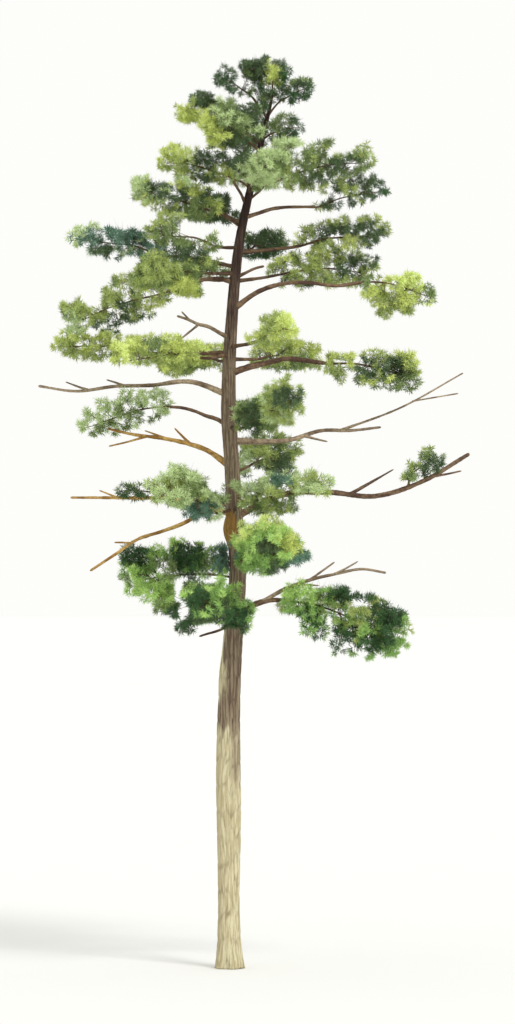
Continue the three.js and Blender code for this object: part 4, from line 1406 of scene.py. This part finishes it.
@dataclass
class Mass:
    """One mass of foliage: its stem, and the twigs, shoots and tufts that grow from it."""

    row: MassRow
    index: int
    stem: Limb
    space: Space
    spaces: list[Space]
    trunk: Trunk
    lines: Array = field(init=False)
    radii: Array = field(init=False)
    strands: Array = field(init=False)
    girths: Array = field(init=False)
    leaves_at: Array = field(init=False)

    def own(self, points: Array, room: float) -> Array:
        """True for each point in this mass's own space, and not in a neighbour's.

        Args:
            points: The points.
            room: How much of the space counts.

        Returns:
            One truth value a point.
        """
        mine = self.space.depth(points)
        inside = mine < room
        for other in self.spaces:
            if other is not self.space and np.linalg.norm(other.middle - self.space.middle) < NEIGHBOURS:
                inside &= other.depth(points) >= mine
        return inside

    def reach(self, roots: Array, along: Array, limit: float, room: float = 1) -> Array:
        """How far each twig can go before it leaves the mass's own space.

        Args:
            roots: Where the twigs start.
            along: Which way they go.
            limit: The longest that a twig gets.
            room: How much of the space counts.

        Returns:
            A length for each twig.
        """
        steps = np.linspace(0, limit, REACH_STEPS)
        places = roots[:, None] + along[:, None] * steps[1:, None]
        flat = places.reshape(-1, 3)
        good = self.own(flat, room) & self.trunk.clears(flat, WOOD_ROOM) & ~in_gap(flat)
        good = good.reshape(places.shape[:2])
        blocked = ~good & (np.cumsum(good, axis=1) > 0)
        first = np.where(blocked.any(axis=1), blocked.argmax(axis=1), REACH_STEPS - 1)
        return np.where(good.any(axis=1), steps[first], 0)

    def grow(self) -> Tufts:
        """Grows twigs round the stem, shoots along the twigs and tufts of needles on the shoots.

        Returns:
            The tufts.
        """
        rng = np.random.default_rng(SEED + 101 * self.index + 1)
        roots, along = self.twig_starts(rng)
        low, lumps = TWIG_EDGE
        edge = low + lumps * Noise.smooth(roots + 0.6 * along, LOBE_SIZE, 21 + self.index)
        length = self.reach(roots, along, TWIG_LIMIT) * np.minimum(edge, 1)
        if self.space.lobes:
            more = self.lobe_twigs(rng)
            roots, along, length = (np.concatenate(pair) for pair in zip((roots, along, length), more))
        keep = length > SHORTEST_TWIG
        roots, along, length = roots[keep], along[keep], length[keep]
        share = np.linspace(0, 1, TWIG_POINTS)
        lines = roots[:, None] + along[:, None] * (length[:, None] * share)[..., None]
        lines[:, :, 2] += TWIG_BEND * length[:, None] * np.sin(share * math.pi * 0.5) ** 2
        sway = rng.normal(0, TWIG_SWAY, (len(lines), 3))
        lines += sway[:, None] * (length[:, None] * np.sin(share * math.pi * 1.5))[..., None]
        thin, thick, taper = TWIG_GIRTH
        self.lines = lines
        self.radii = (thin + thick * length[:, None] ** 0.7) * (1 - taper * share)
        return self.shoots(rng, length)

    def wood(self, kept: Array, twigs: Batch) -> None:
        """Makes the stem, and those twigs and shoots that hold needles.

        Args:
            kept: The twig or shoot of each tuft that is kept.
            twigs: The batch that takes them, each twig as far as its last shoot.
        """
        stem = self.stem
        if self.row.bough or self.row.on_tip:
            back = unit(stem.points[0] - stem.points[1]) * STEM_SEAT
            stem = replace(stem, points=np.vstack([stem.points[0] + back, stem.points]))
        stem.mesh(twigs, 0, STEM_SIDES, STEM_RELIEF, self.index)
        count = len(self.lines)
        on_twig, on_shoot = kept[kept < count], np.unique(kept[kept >= count]) - count
        far = np.zeros(count)
        np.maximum.at(far, self.leaves_at[on_shoot, 0].astype(int), self.leaves_at[on_shoot, 1])
        far[on_twig] = 1
        used = far > 0
        place = far[used, None] * np.arange(TWIG_POINTS)
        run = np.minimum(place.astype(int), TWIG_POINTS - 2)
        rows, lines = np.arange(len(place))[:, None], self.lines[used]
        start = lines[rows, run]
        lines = start + (lines[rows, run + 1] - start) * (place - run)[..., None]
        twigs.add(*tubes(lines, self.radii[used], TWIG_SIDES, True))
        twigs.add(*tubes(self.strands[on_shoot], self.girths[on_shoot], SHOOT_SIDES, True))

    def twig_starts(self, rng: np.random.Generator) -> tuple[Array, Array]:
        """Where twigs leave the stem and which way they go, by the spiral rule.

        Args:
            rng: The seeded numbers.

        Returns:
            Starts and directions.
        """
        line = smooth_line(self.stem.points[1:] if self.row.near else self.stem.points, STEM_POINTS)
        count = max(FEWEST_TWIGS, round(length_of(line) / TWIG_STEP))
        bare = STEM_BARE / 2
        share = bare + (1 - bare) * (np.arange(count) + 0.5) / count
        roots, tangent, _ = places_on(line, share)
        round_turn = SPIRAL * np.arange(count) + SPIRAL_JITTER * rng.random(count)
        wide, less, jitter = TWIG_ANGLE
        off = np.radians(wide - less * share ** 2 + rng.normal(0, jitter, count))
        side = unit(np.stack([-tangent[:, 1], tangent[:, 0], tangent[:, 2] * 0 + 1e-6], axis=-1))
        up = np.cross(tangent, side)
        across = side * np.cos(round_turn)[:, None] + up * np.sin(round_turn)[:, None]
        along = tangent * np.cos(off)[:, None] + across * np.sin(off)[:, None]
        return np.vstack([roots, line[-1:]]), unit(np.vstack([along, tangent[-1:]]))

    def lobe_twigs(self, rng: np.random.Generator) -> tuple[Array, Array, Array]:
        """Twigs from the stem's nearest places into the lobes.

        Args:
            rng: The seeded numbers.

        Returns:
            Starts, directions and lengths.
        """
        line = smooth_line(self.stem.points, STEM_POINTS)
        ends = []
        for lobe in self.space.lobes:
            spread = rng.uniform(-LOBE_SPREAD, LOBE_SPREAD, (LOBE_TWIGS, 3))
            spread *= (lobe.wide, LOBE_ROOM, lobe.high)
            ends.append(np.array([lobe.across, self.space.middle[1], lobe.up]) + spread)
        ends = np.concatenate(ends)
        nearest = np.linalg.norm(ends[:, None] - line[None], axis=2).argmin(axis=1)
        roots = line[np.maximum(nearest - LOBE_START, 2)]
        for on in (0, LOBE_START, 2 * LOBE_START):
            other = line[np.clip(nearest + on, 2, STEM_POINTS - 1)]
            roots = np.where(crosses_gap(roots, ends)[:, None], other, roots)
        clear = ~crosses_gap(roots, ends)
        roots, ends = roots[clear], ends[clear]
        length = np.linalg.norm(ends - roots, axis=1)
        return roots, unit(ends - roots), np.minimum(length, TWIG_LIMIT)

    def shoots(self, rng: np.random.Generator, length: Array) -> Tufts:
        """Grows shoots left and right along each twig, and tufts on both.

        Args:
            rng: The seeded numbers.
            length: The twigs' lengths.

        Returns:
            The tufts.
        """
        lines = self.lines
        (near, span), (least, longer, end) = SHOOT_SPAN, SHOOT_LENGTH
        across, over = frames_along(lines)
        roots, along, most, leaves = [], [], [], []
        for i, line in enumerate(lines):
            count = int(length[i] / SHOOT_STEP)
            share = near + span * (np.arange(count) + rng.random(count) * 0.6) / max(count, 1)
            start, tangent, place = places_on(line, share)
            turn = rng.random() * math.pi + np.arange(count) * math.pi + rng.normal(0, SHOOT_TURN, count)
            out = across[i, place] * np.cos(turn)[:, None] + over[i, place] * np.sin(turn)[:, None]
            off = np.radians(rng.normal(*SHOOT_ANGLE, count))[:, None]
            roots.append(start)
            along.append(tangent * np.cos(off) + out * np.sin(off))
            most.append(np.minimum(SHOOT_LIMIT, least + longer * length[i] * (end - share)))
            leaves.append(np.stack([np.full(count, i), share], axis=1))
        roots, along, most = np.concatenate(roots), np.concatenate(along), np.concatenate(most)
        along[:, 2] += SHOOT_LIFT
        along = unit(along)
        free = self.reach(roots, along, SHOOT_LIMIT, SHOOT_ROOM)
        most = np.minimum(most * rng.uniform(0.7, 1, len(most)), free)
        keep = (most > SHORTEST_SHOOT) & ~in_gap(roots)
        roots, along, most = roots[keep], along[keep], most[keep]
        self.leaves_at = np.concatenate(leaves)[keep]
        strands = np.stack([roots, roots + along * most[:, None]], axis=1)
        strands[:, 1, 2] += SHOOT_CURL * most
        thin, thick, taper = SHOOT_GIRTH
        self.strands = strands
        self.girths = (thin + thick * most[:, None]) * (1 - taper * np.linspace(0, 1, 2))
        at = [lines[:, -1], strands[:, 1]]
        point = [lines[:, -1] - lines[:, -2], strands[:, 1] - strands[:, 0]]
        owner = [np.arange(len(lines)), len(lines) + np.arange(len(strands))]
        for number in range(1, 5):
            back = most - number * TUFT_STEP * rng.uniform(0.85, 1.15, len(most))
            some = back > TUFT_FROM * most
            at.append(roots[some] + along[some] * back[some, None])
            point.append(along[some])
            owner.append(len(lines) + np.flatnonzero(some))
        return self.paint(rng, np.concatenate(at), unit(np.concatenate(point)), np.concatenate(owner))

    def paint(self, rng: np.random.Generator, at: Array, along: Array, owner: Array) -> Tufts:
        """Deals the mass's colours out to its tufts: painted light on the top and outside of the mass,
        painted shade below and inside, in soft patches.

        Args:
            rng: The seeded numbers.
            at: Where the tufts are.
            along: Which way they point.
            owner: The twig or shoot that each grows on.

        Returns:
            The tufts.
        """
        lobes = self.space.depth(at) + LOBE_DEPTH * Noise.smooth(at, LOBE_SIZE, 80 + self.index) < 1.02
        at, along, owner = at[lobes], along[lobes], owner[lobes]
        parts = (at - self.space.middle) @ self.space.axes.T / self.space.sizes
        # Painted light and shade: tufts high in the mass and near its outside lean to its light colour,
        # tufts low and deep inside to its dark one.
        light = PAINTED_LIGHT_RISE * parts[:, 2] + PAINTED_LIGHT_RISE * (self.space.depth(at) - 0.5)
        light = light + WASH_LUMPS * Noise.smooth(at, WASH_SIZE, 40 + self.index)
        light = light + rng.normal(0, WASH_BLUR, len(at))
        pick = np.where(light > LIGHT_FROM, 0, np.where(light < DARK_BELOW, 2, 1))
        washes = list(Wash)
        wash = np.array([washes.index(one) for one in self.row.washes])[pick]
        ragged = PATCH_EDGE * Noise.smooth(at, LOBE_SIZE, 90) + rng.normal(0, PATCH_BLUR, len(at))
        for patch in PATCHES:
            wash = np.where(patch.depth(at) + ragged < 1, washes.index(patch.wash), wash)
        return Tufts(at, along, rng.uniform(*TUFT_SCALE, len(at)), wash, owner)


@dataclass
class Needles:
    """The needles of the whole crown, in tufts, each colour apart."""

    kinds: int = 8
    a_tuft: int = 15
    most_triangles: int = 190_000
    length: float = 0.15
    width: float = 0.019
    lean: tuple[float, float] = (18, 58)
    lean_jitter: float = 0.12
    scale: tuple[float, float] = (0.72, 1.08)
    root: float = 0.055
    widest: float = 0.42
    fold: float = 0.3

    def patterns(self) -> Array:
        """Tufts of needles about +Z, each needle folded along its middle and pointed at both ends.

        Returns:
            Vertices as kinds by needles by 4 by 3.
        """
        rng = np.random.default_rng(SEED)
        shape = (self.kinds, self.a_tuft)
        turn = (np.arange(self.a_tuft) * SPIRAL)[None] + rng.uniform(0, 6.3, (self.kinds, 1))
        inner, more = self.lean
        lean = np.radians(inner + more * np.sqrt((np.arange(self.a_tuft) + 0.5) / self.a_tuft))[None]
        lean = lean + rng.normal(0, self.lean_jitter, shape)
        way = np.stack([np.cos(turn) * np.sin(lean), np.sin(turn) * np.sin(lean), np.cos(lean)], axis=-1)
        long = self.length * rng.uniform(*self.scale, shape)[..., None]
        side = unit(np.cross(way, unit(rng.normal(0, 1, (*shape, 3)))))
        lift = np.cross(side, way) * self.width * self.fold
        back = rng.uniform(0, self.root, shape)[..., None] * np.array([0, 0, -1.0])
        middle = back + way * long * self.widest + lift
        half = side * self.width / 2
        return np.stack([back, middle - half, back + way * long, middle + half], axis=2)

    def build(self, tufts: Tufts, nodes: list[str]) -> None:
        """Makes the joined meshes, one or a few of each colour.

        Args:
            tufts: All tufts of the crown.
            nodes: The solids that the needles stand for.
        """
        rng = np.random.default_rng(SEED + 1)
        patterns = self.patterns()
        kind = rng.integers(0, self.kinds, len(tufts.at))
        roll = rng.uniform(0, 2 * math.pi, len(tufts.at))
        across = unit(np.cross(tufts.along, unit(rng.normal(0, 1, tufts.along.shape))))
        over = np.cross(tufts.along, across)
        first = across * np.cos(roll)[:, None] + over * np.sin(roll)[:, None]
        turned = np.stack([first, np.cross(tufts.along, first), tufts.along], axis=1)
        most = self.most_triangles // (2 * self.a_tuft)
        for number, wash in enumerate(Wash):
            chosen = np.flatnonzero(tufts.wash == number)
            if not len(chosen):
                continue
            finish = NeedleFinish(wash).material()
            parts = -(-len(chosen) // most)
            for part, some in enumerate(np.array_split(chosen, parts)):
                shapes = patterns[kind[some]] * tufts.scale[some, None, None, None]
                places = np.einsum("tnvk,tkd->tnvd", shapes, turned[some]) + tufts.at[some, None, None]
                batch = Batch()
                batch.add(places.reshape(-1, 3), np.arange(places.size // 3).reshape(-1, 4))
                name = f"needles_{wash.name.lower()}" + (f"_{part + 1}" if parts > 1 else "")
                piece = batch.make(name, finish, "needles", smooth=False)
                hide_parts(*nodes)


@dataclass
class Crown:
    """All limbs and masses of the tree, grown in the same order as the solids."""

    trunk: Trunk
    limbs: dict[str, Limb] = field(default_factory=dict)
    masses: list[Mass] = field(default_factory=list)
    spaces: list[Space] = field(default_factory=list)

    def grow(self) -> None:
        """Lays out the limbs, the stems and the forks."""
        draws = Draws(SEED)
        for row in BOUGH_ROWS + BARE_ROWS:
            start = self.trunk.middle(row.start)
            if row.parent:
                start = part_way(self.limbs[row.parent].points, row.share)[0]
            points = Limb.path(start, np.array(row.tip), row.arch, row.sway, BOUGH_STEPS, draws)
            end = BOUGH_TIP_SHARE * row.radius if row in BOUGH_ROWS else BARE_TIP_RADIUS
            carries = any(mass.bough == row.name for mass in MASS_ROWS)
            self.limbs[row.name] = Limb(points, row.radius, end, carries=carries)
        for index, row in enumerate(MASS_ROWS):
            self.masses.append(self.mass(index, row, draws))
        for row in BOUGH_ROWS + BARE_ROWS:
            self.limbs[row.name].grow_forks(row.forks, draws)
        for row in STUB_ROWS:
            start = self.trunk.middle(row.start)
            points = Limb.path(start, np.array(row.tip), row.arch, 0, BOUGH_STEPS, draws)
            self.limbs[row.name] = Limb(points, row.radius, STUB_TIP * row.radius)

    def mass(self, index: int, row: MassRow, draws: Draws) -> Mass:
        """Lays out one mass's stem and space.

        Args:
            index: Its place in the table.
            row: Its row.
            draws: The seeded numbers.

        Returns:
            The mass.
        """
        far = np.array(row.far, float)
        start = self.trunk.middle(self.trunk.tip if row.on_tip else row.start)
        if row.beside:
            start = part_way(self.limbs[row.beside].points, row.share)[0]
        radius = STEM_RADIUS + STEM_GIRTH * float(np.linalg.norm(far - start))
        if row.on_tip or row.bough:
            line = np.stack([self.trunk.middle(self.trunk.tip - LEADER_ROOT), start])
            radius = self.trunk.stations[-1].radius
            if row.bough:
                line = self.limbs[row.bough].points
                radius = self.limbs[row.bough].tip_radius
                start = line[-1]
            near, first = start, start + unit(line[-1] - line[-2]) * STEM_START
        else:
            first = near = np.array(row.near, float)
        end = first + (far - first) * STEM_REACH
        arch = STEM_ARCH * float(np.linalg.norm(end - first))
        points = np.vstack([start, Limb.path(first, end, arch, 0, STEM_STEPS, draws)])
        self.spaces.append(Space.between(near, far, row))
        stem = Limb(points, radius, STEM_TIP_RADIUS)
        return Mass(row, index, stem, self.spaces[-1], self.spaces, self.trunk)

    def hidden(self, row: LimbRow) -> float:
        """Share of a limb's length that lies inside the trunk, or inside the limb that it leaves.

        Args:
            row: The limb.

        Returns:
            The share.
        """
        line = smooth_line(self.limbs[row.name].points, LINE_POINTS)
        if row.parent:
            return SEAT_SHARE * self.limbs[row.parent].radius / float(np.linalg.norm(line[-1] - line[0]))
        return int(np.argmax(self.trunk.clears(line, -SEAT_DEPTH))) / LINE_POINTS

    def build_limbs(self) -> None:
        """Makes the boughs and bare limbs, each its own piece."""
        barks = (
            LimbBark("bough_bark", (84, 64, 52), (136, 112, 88)),
            LimbBark("pale_wood", (142, 104, 52), (206, 172, 104)),
            LimbBark("grey_wood", (112, 94, 76), (176, 158, 132)),
        )
        finishes = {bark.name: bark.material() for bark in barks}
        for number, row in enumerate(BOUGH_ROWS + BARE_ROWS):
            bare = "pale_wood" if row.name in OCHRE_LIMBS else "grey_wood"
            slot = "bough_bark" if row in BOUGH_ROWS else bare
            batch = Batch()
            self.limbs[row.name].mesh(batch, self.hidden(row), LIMB_SIDES, LIMB_RELIEF, 60 + number)
            piece = batch.make(f"{row.name}_bark", finishes[slot], slot)
            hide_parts(row.name)
        batch = Batch()
        for number, row in enumerate(STUB_ROWS):
            self.limbs[row.name].mesh(batch, self.hidden(row), STUB_SIDES, LIMB_RELIEF, 90 + number)
        batch.make("stubs", finishes["bough_bark"], "bough_bark")

    def build_foliage(self) -> None:
        """Makes the twigs and needles of all masses."""
        nodes = [f"foliage_{mass.row.name}" for mass in self.masses]
        twigs, kept = [Batch(), Batch()], []
        grown = [mass.grow() for mass in self.masses]
        rng = np.random.default_rng(SEED + 2)
        for mass, some in zip(self.masses, grown):
            keep = self.trunk.clears(some.at, TUFT_ROOM) & ~in_gap(some.at)
            keep[keep] = evened(some.at[keep], TUFT_CELL, TUFTS_A_CELL, rng)
            a, b, c = mass.space.sizes
            share = BACK_SHARE if mass.row.name.endswith("back") else 1
            most = TUFTS_A_METRE * share * max(SMALLEST_MASS, a * b + b * c + c * a)
            keep &= rng.random(len(keep)) < most / max(1, int(keep.sum()))
            kept.append(some.only(keep))
            mass.wood(some.owner[keep], twigs[mass.row.far[1] > 0])
            LOG.info("%s: %d tufts grown, %d kept", mass.row.name, len(keep), int(keep.sum()))
        finish = LimbBark("twig_bark", (78, 60, 48), (122, 98, 74), 14.0).material()
        for side, batch in zip(("front", "back"), twigs):
            piece = batch.make(f"twigs_{side}", finish, "bough_bark")
            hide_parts(*nodes)
        Needles().build(Tufts.joined(kept), nodes)


@dataclass
class Studio:
    """The pale floor, the soft light and the camera."""

    target: Triple = (0.69, 0.0, 11.05)
    distance: float = 120.0
    frame_height: float = 24.81
    sensor: float = 36.0
    floor: float = 400.0
    floor_corners: tuple[tuple[int, int], ...] = ((-1, -1), (1, -1), (1, 1), (-1, 1))
    floor_down: float = 0.004
    floor_tint: Triple = (0.76, 0.76, 0.74)
    sky: Triple = (0.985, 0.985, 0.955)
    sun_strength: float = 1.6
    sun_spread: float = math.radians(18)
    sun_way: Triple = (-0.5, 0.75, -0.95)

    @staticmethod
    def stand(name: str, data: bpy.types.ID) -> bpy.types.Object:
        """Puts a thing of the stage in the scene.

        Args:
            name: Its name.
            data: What it is.

        Returns:
            The new object.
        """
        thing = bpy.data.objects.new(name, data)
        bpy.context.scene.collection.objects.link(thing)
        return thing

    def build(self) -> None:
        """Sets the stage."""
        scene = bpy.context.scene
        scene.view_settings.view_transform = "Standard"
        floor = bpy.data.meshes.new("floor")
        corners = [(x * self.floor, y * self.floor, -self.floor_down) for x, y in self.floor_corners]
        floor.from_pydata(corners, [], [(0, 1, 2, 3)])
        floor.materials.append(Nodes("floor").finish(self.floor_tint, 0.95))
        ground = self.stand("floor", floor)
        world = bpy.data.worlds.new("world")
        world.use_nodes = True
        back = world.node_tree.nodes["Background"]
        back.inputs["Color"].default_value = (*self.sky, 1)
        back.inputs["Strength"].default_value = 1.0
        scene.world = world
        sun = bpy.data.lights.new("sun", "SUN")
        sun.energy, sun.angle = self.sun_strength, self.sun_spread
        light = self.stand("sun", sun)
        light.rotation_euler = Vector(self.sun_way).to_track_quat("-Z", "Y").to_euler()
        lens = bpy.data.cameras.new("camera")
        lens.sensor_fit, lens.sensor_height = "VERTICAL", self.sensor
        lens.lens = self.sensor * self.distance / self.frame_height
        lens.clip_end = 1000
        camera = self.stand("camera", lens)
        camera.location = (self.target[0], self.target[1] - self.distance, self.target[2])
        camera.rotation_euler = (math.radians(90), 0, 0)
        scene.camera = camera


def main() -> None:
    """Builds the tree piece by piece."""
    logging.basicConfig(level=logging.INFO, format="%(name)s: %(message)s")
    trunk = Trunk()
    trunk.build()
    crown = Crown(trunk)
    crown.grow()
    crown.build_limbs()
    crown.build_foliage()
    Studio().build()


if __name__ == "__main__":
    main()
